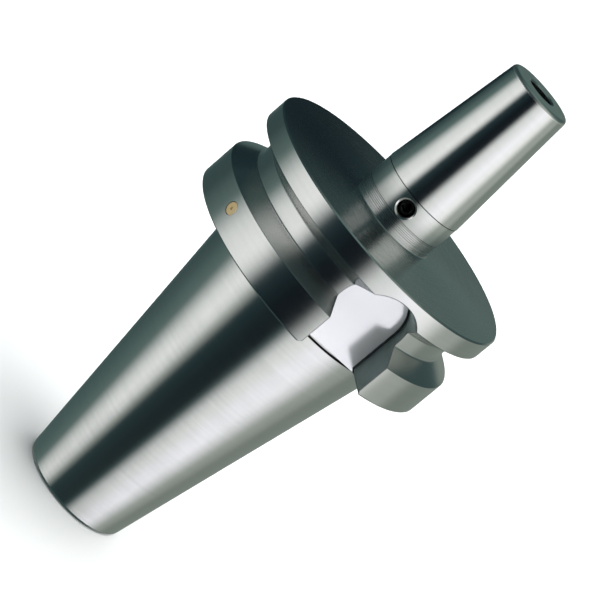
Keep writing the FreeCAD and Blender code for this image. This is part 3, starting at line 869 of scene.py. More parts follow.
@dataclass(frozen=True)
class MetalFinish:
    """A metal surface with fine marks, faint stains and uneven gloss: sizes in mm."""

    name: str
    colour: Colour
    stain: Colour
    roughness: tuple[float, float]
    marks: Marks = Marks.AROUND
    mark_pitch: float = 0.3
    mark_depth: float = 0.0004
    anisotropy: float = 0.0
    metallic: float = 1.0
    cloud_size: float = 14.0

    def _drawn_out(self, wire: Wiring, place: bpy.types.NodeSocket) -> bpy.types.NodeSocket:
        """Draw a place out along the marks.

        Args:
            wire: the material's nodes.
            place: the place on the piece.

        Returns:
            The place at which the noise of the marks is read.
        """
        x, y, z = wire.add("ShaderNodeSeparateXYZ", {0: place}).outputs
        parts: tuple[bpy.types.NodeSocket, ...] = (x, y, z)
        if self.marks is Marks.AROUND:
            radius = wire.maths("SQRT", wire.maths("ADD", wire.times(x, x), wire.times(y, y)))
            along = wire.maths("ADD", z, wire.times(radius, KEPT_RADIUS))
            parts = (wire.times(x, KEPT_AROUND), wire.times(y, KEPT_AROUND), along)
        elif self.marks is Marks.LENGTHWISE:
            parts = (wire.times(x, KEPT_ACROSS), y, wire.times(z, KEPT_LENGTHWISE))
        return wire.add("ShaderNodeCombineXYZ", dict(enumerate(parts))).outputs[0]

    def material(self) -> bpy.types.Material:
        """Make the node material.

        Returns:
            The new material.
        """
        material, wire = new_material(self.name)
        place = wire.add("ShaderNodeTexCoord").outputs["Object"]
        lines, pitch = self._drawn_out(wire, place), self.mark_pitch * MM
        fine = wire.noise(lines, 1 / pitch, Detail=3.0, Roughness=0.65)
        broad = wire.noise(lines, BROAD_SCALE / pitch, Detail=2.0)
        cloud = wire.noise(place, 1 / (self.cloud_size * MM), Detail=4.0, Roughness=0.6)
        worn = wire.weigh(cloud, broad, LAYER_SHARES)
        tint = wire.rescale(worn, STAIN_RANGE, (0.0, 1.0))
        gloss = wire.rescale(wire.weigh(worn, fine, LAYER_SHARES), GLOSS_RANGE, self.roughness[::-1])
        bump = {"Strength": 1.0, "Distance": self.mark_depth * MM, "Height": fine}
        inputs = {
            "Base Color": wire.blend(tint, (*self.stain, 1.0), (*self.colour, 1.0)),
            "Roughness": gloss,
            "Normal": wire.add("ShaderNodeBump", bump).outputs[0],
            "Metallic": self.metallic,
        }
        if self.anisotropy:
            tangent = wire.add("ShaderNodeTangent", direction_type="RADIAL", axis="Z").outputs[0]
            inputs |= {"Anisotropic": self.anisotropy, "Tangent": tangent}
            inputs["Anisotropic Rotation"] = GRAIN_TURN
        shader = wire.add("ShaderNodeBsdfPrincipled", inputs)
        wire.add("ShaderNodeOutputMaterial", {0: shader.outputs[0]})
        return material


STEEL = (0.66, 0.66, 0.655)
STEEL_STAIN = (0.625, 0.63, 0.62)
GROUND_TAPER = MetalFinish(
    "ground_taper_steel", STEEL, STEEL_STAIN, (0.16, 0.22),
    mark_pitch=0.22, mark_depth=0.0002, anisotropy=0.75,
)
TURNED_FLANGE = MetalFinish(
    "turned_flange_steel", STEEL, STEEL_STAIN, (0.2, 0.26),
    mark_pitch=0.3, mark_depth=0.0003, anisotropy=0.75,
)
GROUND_NOSE = MetalFinish(
    "ground_nose_steel", (0.71, 0.71, 0.705), (0.685, 0.69, 0.68), (0.21, 0.245),
    mark_pitch=0.25, mark_depth=0.00015, anisotropy=0.8,
)
GROUND_NECK = MetalFinish(
    "ground_neck_steel", (0.88, 0.88, 0.86), (0.83, 0.835, 0.82), (0.27, 0.31),
    mark_pitch=0.25, mark_depth=0.0002, anisotropy=0.87,
)
MILLED_SLOT = MetalFinish(
    "milled_slot_steel", (0.76, 0.76, 0.785), (0.74, 0.74, 0.765), (0.17, 0.185),
    marks=Marks.LENGTHWISE, mark_pitch=0.5, mark_depth=0.0001, metallic=0.6,
)
# Painted shade: dark green-grey base that darkens the slot walls like shade inside the slot.
MILLED_WALL_PAINTED_SHADE = MetalFinish(
    "milled_wall_painted_shade", (0.36, 0.46, 0.44), (0.28, 0.37, 0.35), (0.38, 0.46),
    marks=Marks.LENGTHWISE, mark_pitch=0.4, mark_depth=0.0004,
)
# Painted shade: dark base that draws a dark shade line along the slots' rounded edges.
SLOT_EDGE_PAINTED_SHADE = MetalFinish(
    "slot_edge_painted_shade", (0.3, 0.31, 0.31), (0.24, 0.25, 0.25), (0.26, 0.36),
    mark_pitch=0.2, mark_depth=0.0003,
)
TURNED_FACE = MetalFinish(
    "turned_face_steel", STEEL, STEEL_STAIN, (0.24, 0.29),
    mark_pitch=0.3, mark_depth=0.0003, anisotropy=0.85,
)
FACED_END = MetalFinish(
    "faced_end_steel", (0.86, 0.85, 0.83), (0.78, 0.78, 0.76), (0.3, 0.4),
    mark_pitch=0.3, mark_depth=0.0006,
)
HONED_BORE = MetalFinish(
    "honed_bore_steel", (0.66, 0.67, 0.67), (0.58, 0.59, 0.59), (0.14, 0.22),
    mark_pitch=0.25, mark_depth=0.0005,
)
BORED_STEEL = MetalFinish(
    "bored_steel", (0.5, 0.5, 0.49), (0.38, 0.38, 0.37), (0.28, 0.42),
    mark_pitch=0.25, mark_depth=0.002,
)
EDGE_STEEL = MetalFinish(
    "broken_edge_steel", (0.7, 0.7, 0.69), STEEL, (0.18, 0.26),
    mark_pitch=0.2, mark_depth=0.0003,
)
# Painted shade: near-black finish that darkens the fine turned lines, the step at the taper's end, the
# cone's notch, the slots' corners and their sloped lead-in floor, like shadow in creases.
NOTCH_PAINTED_SHADE = MetalFinish(
    "turned_line_painted_shade", (0.07, 0.075, 0.08), (0.04, 0.045, 0.05), (0.4, 0.55),
    mark_pitch=0.2, mark_depth=0.001,
)
# In the order of the zones.
BODY_FINISHES = (
    GROUND_TAPER, TURNED_FLANGE, GROUND_NOSE, MILLED_SLOT, BORED_STEEL, EDGE_STEEL, NOTCH_PAINTED_SHADE,
    TURNED_FACE, FACED_END, MILLED_WALL_PAINTED_SHADE, SLOT_EDGE_PAINTED_SHADE, HONED_BORE, GROUND_NECK,
)
BLACK_OXIDE = MetalFinish(
    "black_oxide_steel", (0.02, 0.021, 0.024), (0.035, 0.033, 0.032), (0.32, 0.5),
    marks=Marks.EVEN, mark_pitch=0.5, mark_depth=0.004, metallic=0.85, cloud_size=3.0,
)
COPPER = MetalFinish(
    "soft_copper", (1.0, 0.76, 0.44), (0.94, 0.66, 0.36), (0.3, 0.45),
    marks=Marks.EVEN, mark_pitch=0.5, mark_depth=0.006, cloud_size=2.5,
)
BRASS = MetalFinish(
    "soft_brass", (0.78, 0.6, 0.26), (0.66, 0.48, 0.2), (0.28, 0.42),
    marks=Marks.EVEN, mark_pitch=0.5, cloud_size=3.0,
)
SEAL_RUBBER = MetalFinish(
    "seal_rubber", (0.018, 0.018, 0.019), (0.03, 0.03, 0.031), (0.55, 0.75),
    marks=Marks.EVEN, mark_pitch=0.3, mark_depth=0.01, metallic=0.0, cloud_size=2.0,
)


# Threads.

# A ridge starts and ends at the least share of its size and is whole after 1 / RIDGE_RISE of a turn.
RIDGE_RISE = 1.6
RIDGE_LEAST = 0.04


@dataclass(frozen=True)
class Thread:
    """A right-hand thread ridge wound on a cylinder: sizes in mm, ridge positive towards the axis."""

    wall_radius: float
    pitch: float
    turns: float
    ridge: float
    base: float
    crest: float
    start: float
    sunk: float = 0.12
    steps: int = 72

    @classmethod
    def fine(cls, wall_radius: float, turns: float, ridge: float, start: float) -> "Thread":
        """Give a thread of 1 mm pitch."""
        return cls(wall_radius, 1.0, turns, ridge=ridge, base=0.84, crest=0.14, start=start, steps=48)

    @staticmethod
    def tree() -> bpy.types.NodeTree:
        """Build the Geometry Nodes tree that winds a ridge of four flat sides.

        Returns:
            The tree, which all threads share.
        """
        name = "wound_thread_ridge"
        if name in bpy.data.node_groups:
            return bpy.data.node_groups[name]
        tree = bpy.data.node_groups.new(name, "GeometryNodeTree")
        tree.interface.new_socket("Ridge Mesh", in_out="OUTPUT", socket_type="NodeSocketGeometry")
        sizes = ("Wall Radius", "Pitch", "Turns", "Ridge", "Base Width", "Crest Width", "Start", "Sunk")
        kinds = {**dict.fromkeys(sizes, "Float"), "Steps": "Int", "Finish": "Material"}
        for label, kind in kinds.items():
            tree.interface.new_socket(label, in_out="INPUT", socket_type=f"NodeSocket{kind}")
        wire = Wiring(tree)
        given = wire.add("NodeGroupInput").outputs
        spiral = wire.add(
            "GeometryNodeCurveSpiral",
            {
                "Resolution": given["Steps"],
                "Rotations": given["Turns"],
                "Start Radius": given["Wall Radius"],
                "End Radius": given["Wall Radius"],
                "Height": wire.times(given["Pitch"], given["Turns"]),
                "Reverse": True,
            },
        ).outputs[0]
        upright = wire.add("GeometryNodeSetCurveNormal", {"Curve": spiral}, mode="Z_UP").outputs[0]
        half_base, half_crest = (wire.times(given[label], 0.5) for label in ("Base Width", "Crest Width"))
        foot = wire.times(given["Sunk"], -1.0)
        corners = (
            (foot, wire.times(half_base, -1.0)),
            (given["Ridge"], wire.times(half_crest, -1.0)),
            (given["Ridge"], half_crest),
            (foot, half_base),
        )
        places = {
            f"Point {k + 1}": wire.add("ShaderNodeCombineXYZ", {0: a, 1: b}).outputs[0]
            for k, (a, b) in enumerate(corners)
        }
        outline = wire.add("GeometryNodeCurvePrimitiveQuadrilateral", places, mode="POINTS").outputs[0]
        share = wire.add("GeometryNodeSplineParameter").outputs["Factor"]
        near_end = wire.maths("MINIMUM", share, wire.maths("SUBTRACT", 1.0, share))
        fade = wire.times(near_end, wire.times(given["Turns"], RIDGE_RISE))
        size = wire.maths("MAXIMUM", wire.maths("MINIMUM", fade, 1.0), RIDGE_LEAST)
        swept = {"Curve": upright, "Profile Curve": outline, "Scale": size, "Fill Caps": True}
        ridge = wire.add("GeometryNodeCurveToMesh", swept).outputs[0]
        lift = wire.add("ShaderNodeCombineXYZ", {2: given["Start"]}).outputs[0]
        moved = wire.add("GeometryNodeTransform", {"Geometry": ridge, "Translation": lift}).outputs[0]
        real = wire.add("GeometryNodeRealizeInstances", {0: moved}).outputs[0]
        dress = {"Geometry": real, "Material": given["Finish"]}
        dressed = wire.add("GeometryNodeSetMaterial", dress).outputs[0]
        faceted = {"Geometry": dressed, "Shade Smooth": False}
        flat = wire.add("GeometryNodeSetShadeSmooth", faceted).outputs[0]
        wire.add("NodeGroupOutput", {0: flat})
        return tree

    def build(self, name: str, finish: bpy.types.Material, place: Matrix) -> bpy.types.Object:
        """Wind the ridge and turn it into a plain mesh.

        Args:
            name: name of the piece.
            finish: its material.
            place: where the thread's axis lies, in metres.

        Returns:
            The ridge as an object of its own.
        """
        tree = self.tree()
        holder = link_new(name + "_tree", bpy.data.meshes.new(name + "_tree"))
        modifier = holder.modifiers.new("ridge", "NODES")
        modifier.node_group = tree
        values = {
            "Wall Radius": self.wall_radius * MM,
            "Pitch": self.pitch * MM,
            "Turns": float(self.turns),
            "Ridge": self.ridge * MM,
            "Base Width": self.base * MM,
            "Crest Width": self.crest * MM,
            "Start": self.start * MM,
            "Sunk": math.copysign(self.sunk, self.ridge) * MM,
            "Steps": self.steps,
            "Finish": finish,
        }
        for item in tree.interface.items_tree:
            if item.in_out == "INPUT":
                modifier[item.identifier] = values[item.name]
        graph = bpy.context.evaluated_depsgraph_get()
        mesh = bpy.data.meshes.new_from_object(holder.evaluated_get(graph))
        mesh.name = name
        mesh.transform(place)
        holder.modifiers.remove(modifier)
        bpy.data.objects.remove(holder)
        LOG.info("%s: %d faces of thread", name, len(mesh.polygons))
        return link_new(name, mesh)


# Turned small pieces.


@dataclass(frozen=True)
class Ring:
    """One ring of a small turned piece: size, height, and six sides where it is a hexagon."""

    radius: float
    height: float
    sides: int = 0


@dataclass
class TurnedPiece:
    """A closed piece made of rings, round or hexagonal, along an axis."""

    name: str
    rings: Sequence[Ring]
    origin: Place = (0.0, 0.0, 0.0)
    axis: Place = (0.0, 0.0, 1.0)
    columns: int = 96

    def axes(self) -> np.ndarray:
        """Give two directions across the axis, and the axis.

        Returns:
            The three directions, one in each row.
        """
        axis = np.array(self.axis)
        is_level = abs(axis[2]) < 0.5
        across = np.array([-axis[1], axis[0], 0.0]) if is_level else np.array([1.0, 0.0, 0.0])
        across = across / np.linalg.norm(across)
        return np.array([across, np.cross(axis, across), axis])

    def matrix(self) -> Matrix:
        """Give the place of the piece's axis, in metres."""
        return axes_matrix(self.axes(), [value * MM for value in self.origin])

    def build(self, finish: bpy.types.Material) -> bpy.types.Object:
        """Make the closed mesh.

        Args:
            finish: the piece's material.

        Returns:
            The new object.
        """
        skin = Skin()
        angle = np.linspace(0, 2 * math.pi, self.columns + 1)
        angle[-1] = 0.0
        cos, sin = np.cos(angle), np.sin(angle)
        sector = math.pi / 3
        from_flat = (angle + sector / 2) % sector - sector / 2
        axes, origin = self.axes(), np.array(self.origin)

        def place(ring: Ring) -> np.ndarray:
            """Place the points of one ring.

            Args:
                ring: the ring.

            Returns:
                Its points in the object's frame.
            """
            size = ring.radius / np.cos(from_flat) if ring.sides else np.full_like(angle, ring.radius)
            local = np.stack([size * cos, size * sin, np.full_like(angle, ring.height)], axis=-1)
            return placed(local, axes, origin)

        for low, high in zip(self.rings, self.rings[1:]):
            points = np.array([place(low), place(high)])
            normals = None
            if not low.sides and not high.sides:
                run = np.array([high.radius - low.radius, high.height - low.height])
                run = run / np.linalg.norm(run)
                local = np.stack([run[1] * cos, run[1] * sin, np.full_like(angle, -run[0])], axis=-1)
                normals = np.array([local @ axes] * 2)
            skin.grid(points, normals, Zone.TAPER)
        return skin.build(self.name, [finish])


@dataclass(frozen=True)
class HexSocket:
    """A hexagon socket: size across flats, depth of the flats, radius of the hole at its bottom."""

    flats: float
    depth: float
    hole: float = 0.0
    wider: float = 0.12
    edge_break: float = 0.22
    hole_slope: float = 0.35
    tip_slope: float = 0.7

    def rings(self, face: float, up: bool) -> list[Ring]:
        """Give the socket's rings.

        Args:
            face: height of the face that it opens in.
            up: True where the socket opens upwards.

        Returns:
            Rings from the mouth to the bottom.
        """
        way = -1.0 if up else 1.0
        half = self.flats / 2
        slope = self.hole_slope if self.hole else self.tip_slope
        return [
            Ring(half / math.cos(math.pi / 6) + self.wider, face),
            Ring(half, face + way * self.edge_break, 6),
            Ring(half, face + way * self.depth, 6),
            Ring(self.hole, face + way * (self.depth + slope)),
        ]


# The pieces.


@dataclass(frozen=True)
class Bores:
    """The bores on the axis: their radii, and the heights at which they start and end."""

    tool: float = 5.0
    tool_break: float = 0.5
    tool_end: float = 55.0
    relief: float = 5.4
    relief_start: float = 54.6
    relief_end: float = 51.0
    screw: float = 4.015
    screw_break: float = 0.5
    screw_end: float = 28.0
    coolant: float = 4.5
    coolant_start: float = 27.515
    coolant_end: float = -27.29
    stud: float = 12.0
    stud_end: float = -31.8
    pilot: float = 12.5
    pilot_depth: float = 13.0
    pilot_break: float = 0.6

    def corners(self, nose_end: float, small_end: float) -> list[Corner]:
        """List the corners from the nose down to the small end.

        Args:
            nose_end: height of the nose's end face.
            small_end: height of the small end's face.

        Returns:
            The corners in order, all of them sharp.
        """
        pilot_end = small_end + self.pilot_depth
        places = (
            (self.tool + self.tool_break, nose_end, Zone.LINE),
            (self.tool, nose_end - self.tool_break, Zone.TOOL_BORE),
            (self.tool, self.tool_end, Zone.BORE),
            (self.relief, self.relief_start, Zone.BORE),
            (self.relief, self.relief_end, Zone.BORE),
            (self.screw + self.screw_break, self.relief_end, Zone.BORE),
            (self.screw, self.relief_end - self.screw_break, Zone.BORE),
            (self.screw, self.screw_end, Zone.BORE),
            (self.coolant, self.coolant_start, Zone.BORE),
            (self.coolant, self.coolant_end, Zone.BORE),
            (self.stud, self.stud_end, Zone.BORE),
            (self.stud, pilot_end, Zone.BORE),
            (self.pilot, pilot_end, Zone.BORE),
            (self.pilot, small_end + self.pilot_break, Zone.LINE),
            (self.pilot + self.pilot_break, small_end, Zone.FLANGE),
        )
        return [Corner(r, z, 0.0, zone) for r, z, zone in places]


@dataclass
class ChuckBody:
    """The one-piece steel body: taper, flange, slots, nose and its bores."""

    small_end: float = -101.8
    small_end_radius: float = 20.0792
    small_break: float = 1.2
    taper_slope: float = 0.1458333
    taper_end: float = 2.0
    relief_radius: float = 34.425
    relief_lean: float = 0.5
    rear: float = 3.0
    front: float = 38.0
    flange_radius: float = 50.0
    rear_break: float = 0.4
    front_break: float = 0.5
    rim_rounding: float = 0.25
    groove_centre: float = 23.2
    groove_width: float = 15.0
    groove_root: float = 42.5
    groove_flank: float = 30.0
    groove_rounding: float = 1.0
    neck_radius: float = 15.65
    root_fillet: float = 0.5
    root_flare: float = 0.13
    root_length: float = 1.7
    first_ring: float = 0.25
    ring_count: int = 5
    ring_pitch: float = 0.6
    ring_depth: float = 0.035
    line_centre: float = 43.38
    line_width: float = 0.16
    line_depth: float = 0.14
    cone_start: float = 51.5
    cone_notch: float = 0.15
    cone_notch_depth: float = 0.2
    cone_angle: float = 4.4
    nose_end: float = 100.0
    nose_end_radius: float = 12.0
    nose_rounding: float = 1.4
    locking_hole: float = 3.015
    locking_bottom: float = 4.25
    locking_break: tuple[float, float] = (0.5, 0.35)
    drilling: float = 2.3
    drilling_bottom: float = 44.9
    drilling_break_from: float = 49.9
    feed_hole: float = 2.0
    feed_distance: float = 42.0
    feed_depth: float = 8.0
    feed_point: float = 1.2
    feed_break: float = 0.15
    columns: int = 120
    neck_rows: int = 19
    # Every bore is narrower than the first radius, and the slots lie beyond the second.
    bores_within: float = 14.0
    slots_beyond: float = 30.0
    bores: Bores = Bores()
    slot: DriveSlot = field(default_factory=DriveSlot)

    def corners(self) -> list[Corner]:
        """List the corners of the whole section.

        Returns:
            The corners up the outside and back down the bores.
        """
        # The notch finish is painted shade, near-black in the fine lines and steps.
        flange, nose, line, notch = Zone.FLANGE, Zone.NOSE, Zone.LINE, Zone.NOTCH
        r, z0 = self.small_end_radius, self.small_end
        gauge_top = r + (self.taper_end - z0) * self.taper_slope
        flank = (self.flange_radius - self.groove_root) * math.tan(math.radians(self.groove_flank))
        low, high = self.groove_centre - self.groove_width / 2, self.groove_centre + self.groove_width / 2
        rim, neck, end = self.flange_radius, self.neck_radius, self.nose_end
        root_end = self.front + self.root_length
        cone = self.nose_end_radius + (end - self.cone_start) * math.tan(math.radians(self.cone_angle))
        out = [
            Corner(r - self.small_break, z0, 0.3, line),
            Corner(r + self.small_break * self.taper_slope, z0 + self.small_break, 0.3, Zone.TAPER),
            Corner(gauge_top, self.taper_end, 0.06, notch),
            Corner(self.relief_radius, self.taper_end + self.relief_lean, 0.15, line),
            Corner(self.relief_radius, self.rear, 0.1, flange),
            Corner(rim - self.rear_break, self.rear, 0.15, line),
            Corner(rim, self.rear + self.rear_break, self.rim_rounding, flange),
            Corner(rim, low, self.rim_rounding, flange),
            Corner(self.groove_root, low + flank, self.groove_rounding, flange),
            Corner(self.groove_root, high - flank, self.groove_rounding, flange),
            Corner(rim, high, self.rim_rounding, flange),
            Corner(rim, self.front - self.front_break, 0.2, line),
            Corner(rim - self.front_break, self.front, 0.2, Zone.FACE),
            Corner(neck + self.root_flare, self.front, self.root_fillet, nose),
            Corner(neck, root_end, 0.0, Zone.NECK),
        ]
        for k in range(self.ring_count):
            start = root_end + self.first_ring + k * self.ring_pitch
            heights = (start, start + 0.5 * self.ring_pitch, start + 0.98 * self.ring_pitch)
            out += self._fine_groove(heights, self.ring_depth, nose)
        half = self.line_width / 2
        heights = (self.line_centre - half, self.line_centre, self.line_centre + half)
        out += self._fine_groove(heights, self.line_depth, notch)
        return out + [
            Corner(neck, self.cone_start - self.cone_notch, 0.0, notch),
            Corner(neck - self.cone_notch_depth, self.cone_start, 0.0, notch),
            Corner(cone, self.cone_start + self.cone_notch, 0.0, nose),
            Corner(self.nose_end_radius, end, self.nose_rounding, Zone.END_FACE),
            *self.bores.corners(end, z0),
        ]

    def _fine_groove(self, heights: Place, depth: float, zone: Zone) -> list[Corner]:
        """Give the corners of a fine turned groove in the neck.

        Args:
            heights: where it starts, is deepest and ends.
            depth: its depth.
            zone: its finish.

        Returns:
            Three corners in rising order.
        """
        neck, (low, middle, high) = self.neck_radius, heights
        places = ((neck, low, zone), (neck - depth, middle, zone), (neck, high, Zone.NECK))
        return [Corner(r, z, 0.0, finish) for r, z, finish in places]

    def _rows(self) -> list[Span]:
        """Turn the section into spans, with rows added where a slot or a hole needs them.

        Returns:
            The spans in order.
        """
        spans = []
        for span in rounded_profile(self.corners()):
            is_outside = span.zone not in (Zone.BORE, Zone.TOOL_BORE) and span.r.min() > self.bores_within
            spans.append(self._divided(span) if is_outside and len(span.r) == 2 else span)
        return spans

    def _divided(self, span: Span) -> Span:
        """Add the rows that one straight outer span needs.

        Args:
            span: the span.

        Returns:
            The span with its new rows, or as it was.
        """
        slot, (low, high) = self.slot, span.z
        if abs(high - low) < TINY and abs(low - self.rear) < NEAR:
            half = float(slot.half_at(slot.rear))
            height, inset = slot.section(math.sqrt(span.r[1] ** 2 - half**2), slot.rear)
            radii = np.hypot(height, half - inset)
            return divide(span, list((radii - span.r[0]) / (span.r[1] - span.r[0])))
        if self.rear - TINY <= low < slot.tip:
            return divide(span, [(z - low) / (high - low) for z in slot.cuts(low, high)])
        if span.zone is Zone.NECK and low > self.line_centre:
            return divide(span, list(np.linspace(0, 1, self.neck_rows)))
        return span

    def _opening_angle(self, span: Span) -> np.ndarray:
        """Give the angle from the slot's middle at which the surface starts.

        Args:
            span: a stretch of the profile.

        Returns:
            The angle in radians for each row.
        """
        slot = self.slot
        angle = np.zeros(len(span.r))
        if span.zone is Zone.BORE or span.r.min() < self.slots_beyond:
            return angle
        for k, (r, z) in enumerate(zip(span.r, span.z)):
            on_rear_face = abs(z - self.rear) < NEAR
            if on_rear_face and r > float(slot.floor_at(self.rear)) + NEAR:
                angle[k] = self._rear_angle(r)
            elif not on_rear_face and self.rear < z < slot.tip - TINY:
                angle[k] = math.asin(float(slot.opening(np.array(z))) / r)
        return angle

    def _rear_angle(self, r: float) -> float:
        """Give the angle from the slot's middle to its outline on the rear face.

        Args:
            r: a radius beyond the slot's floor.

        Returns:
            The angle in radians.
        """
        slot = self.slot
        half, floor = float(slot.half_at(self.rear)), float(slot.floor_at(self.rear))
        if r <= math.hypot(floor, half - slot.corner) + NEAR:
            return math.acos(min(1.0, floor / r))
        if r >= math.hypot(floor + slot.corner, half) - NEAR:
            return math.asin(half / r)
        bend = np.linspace(0, math.pi / 2, slot.corner_levels + 1)
        x = floor + slot.corner * (1 - np.cos(bend))
        y = half - slot.corner * (1 - np.sin(bend))
        k = int(np.argmin(np.abs(np.hypot(x, y) - r)))
        return math.atan2(y[k], x[k])

    def holes(self) -> list[Hole]:
        """List the small holes in the outside of the body.

        Returns:
            The locking screw's hole, then each drilling in the rim with its feed hole.
        """

        def radial(azimuth: float, height: float, **sizes: float) -> Hole:
            """Give a hole that points outwards from the axis."""
            return Hole((0, 0, height), outwards(azimuth), sideways(azimuth), **sizes)

        out = [
            radial(
                LOCKING_AZIMUTH,
                LOCKING_HEIGHT,
                radius=self.locking_hole,
                bottom=self.locking_bottom,
                break_width=self.locking_break[0],
                break_depth=self.locking_break[1],
                surface_radius=self.neck_radius,
            )
        ]
        for azimuth in PLUG_AZIMUTHS.values():
            drilling = radial(
                azimuth,
                PLUG_HEIGHT,
                radius=self.drilling,
                bottom=self.drilling_bottom,
                chamfer_from=self.drilling_break_from,
                surface_radius=self.flange_radius,
            )
            x, y, _ = outwards(azimuth)
            feed = Hole(
                (self.feed_distance * x, self.feed_distance * y, self.rear),
                (0, 0, -1),
                sideways(azimuth),
                radius=self.feed_hole,
                bottom=-self.feed_depth,
                chamfer_from=-self.feed_break,
                point=self.feed_point,
            )
            out += [drilling, feed]
        return out

    def build(self, finishes: Sequence[bpy.types.Material]) -> bpy.types.Object:
        """Make the whole body as one closed mesh.

        Args:
            finishes: a material for each zone, in the zones' order.

        Returns:
            The new object.
        """
        skin = Skin()
        holes = self.holes()
        share = np.linspace(0, 1, self.columns + 1)
        outer: list[Row] = []
        for span in self._rows():
            start = self._opening_angle(span)[:, None]
            azimuth = start + (math.pi - 2 * start) * share[None, :]
            for half in (0.0, math.pi):
                phi = azimuth + half
                cos, sin = np.cos(phi), np.sin(phi)
                r, z = span.r[:, None], span.z[:, None] + 0 * phi
                points = np.stack([r * cos, r * sin, z], axis=-1)
                nr, nz = span.nr[:, None], span.nz[:, None] + 0 * phi
                normals = np.stack([nr * cos, nr * sin, nz], axis=-1)
                skip = None
                for hole in holes:
                    if self._pierced(hole, span, half):
                        cut = hole.cut(skin, points, span.zone)
                        skip = cut if skip is None else skip | cut
                skin.grid(points, normals, span.zone, skip)
            if span.zone is not Zone.BORE and span.r.min() > self.slots_beyond:
                rows = zip(span.r, span.z, span.nr, span.nz)
                outer += [row for row in rows if self.rear - NEAR < row[1] < self.slot.tip + NEAR]
        self._line_slots(skin, outer)
        return skin.build("chuck_body_dressed", finishes)

    def _line_slots(self, skin: Skin, outer: list[Row]) -> None:
        """Pick the rows from the rear face's edge to the slot's tip and line both slots.

        Args:
            skin: takes the new faces.
            outer: the outer rows, in order.
        """
        rear_edge = max(k for k, row in enumerate(outer) if abs(row[1] - self.rear) < NEAR)
        rows: list[Row] = []
        for row in outer[rear_edge:]:
            if not rows or abs(row[0] - rows[-1][0]) + abs(row[1] - rows[-1][1]) > NEAR:
                rows.append(row)
        r, z, nr, nz = (np.array(values) for values in zip(*rows))
        self.slot.line(skin, r, z, nr, nz)

    def _pierced(self, hole: Hole, span: Span, half: float) -> bool:
        """Tell whether a hole opens in this span and this half of the body.

        Args:
            hole: the hole.
            span: a stretch of the profile.
            half: 0, or pi for the half below the X axis.

        Returns:
            True where the hole lies wholly in the patch.
        """
        is_feed = hole.surface_radius == 0.0
        if ((hole.origin if is_feed else hole.outward)[1] < 0) != (half > 0):
            return False
        middle, run, other, level = hole.origin[2], span.z, span.r, hole.surface_radius
        if is_feed:
            middle, run, other, level = self.feed_distance, span.r, span.z, hole.origin[2]
        holds = run[0] < middle - hole.radius and run[-1] > middle + hole.radius
        return holds and abs(other[0] - level) < NEAR and abs(other[-1] - level) < NEAR

    def pull_stud_thread(self) -> Thread:
        """Give the thread of the pull stud hole."""
        start = self.small_end + self.bores.pilot_depth + 1.5
        return Thread(self.bores.stud, 3.0, 15.0, ridge=1.55, base=2.55, crest=0.45, start=start)


@dataclass
class AdjustingScrew:
    """The hollow length adjusting screw, its seal ring and their threads."""

    front: float = 55.0
    length: float = 37.0
    core: float = 3.42
    crest: float = 3.98
    turns: float = 29.0
    guide: float = 4.41
    guide_end: float = 22.5
    rear_break: float = 0.5
    guide_break: float = 0.3
    groove: tuple[float, float] = (19.2, 20.8)
    groove_bottom: float = 2.93
    groove_lean: float = 0.01
    undercut: float = 3.3
    undercut_end: float = 25.0
    core_start: float = 25.4
    core_end: float = 54.3
    front_face: float = 3.05
    thread_lead: float = 0.05
    seal_radius: float = 3.71
    seal_section: float = 0.74
    seal_height: float = 20.0
    seal_steps: int = 20
    socket: HexSocket = HexSocket(flats=4.0, depth=4.0, hole=1.5)

    def build(self, finish: bpy.types.Material) -> list[bpy.types.Object]:
        """Make the screw and its thread.

        Args:
            finish: material of both.

        Returns:
            The screw and the thread ridge.
        """
        low, high = self.front - self.length, self.front
        rear_socket = self.socket.rings(low, up=False)
        places = (
            (self.guide - self.rear_break, low),
            (self.guide, low + self.rear_break),
            (self.guide, self.groove[0]),
            (self.groove_bottom, self.groove[0] + self.groove_lean),
            (self.groove_bottom, self.groove[1] - self.groove_lean),
            (self.guide, self.groove[1]),
            (self.guide, self.guide_end - self.guide_break),
            (self.guide - self.guide_break, self.guide_end),
            (self.undercut, self.guide_end),
            (self.undercut, self.undercut_end),
            (self.core, self.core_start),
            (self.core, self.core_end),
            (self.front_face, high),
        )
        rings = [*rear_socket[::-1], *(Ring(r, z) for r, z in places)]
        rings += [*self.socket.rings(high, up=True), rear_socket[-1]]
        screw = TurnedPiece("adjusting_screw_dressed", rings).build(finish)
        start = self.core_start + self.thread_lead
        thread = Thread.fine(self.core, self.turns, ridge=self.core - self.crest, start=start)
        return [screw, thread.build("adjusting_screw_thread", finish, Matrix.Identity(4))]

    def build_seal(self, finish: bpy.types.Material) -> bpy.types.Object:
        """Make the round seal ring in its groove.

        Args:
            finish: its material.

        Returns:
            The new object.
        """
        turns = [2 * math.pi * k / self.seal_steps for k in range(self.seal_steps + 1)]
        middle, section, height = self.seal_radius, self.seal_section, self.seal_height
        rings = [Ring(middle + section * math.cos(t), height + section * math.sin(t)) for t in turns]
        return TurnedPiece("adjusting_screw_seal_dressed", rings).build(finish)


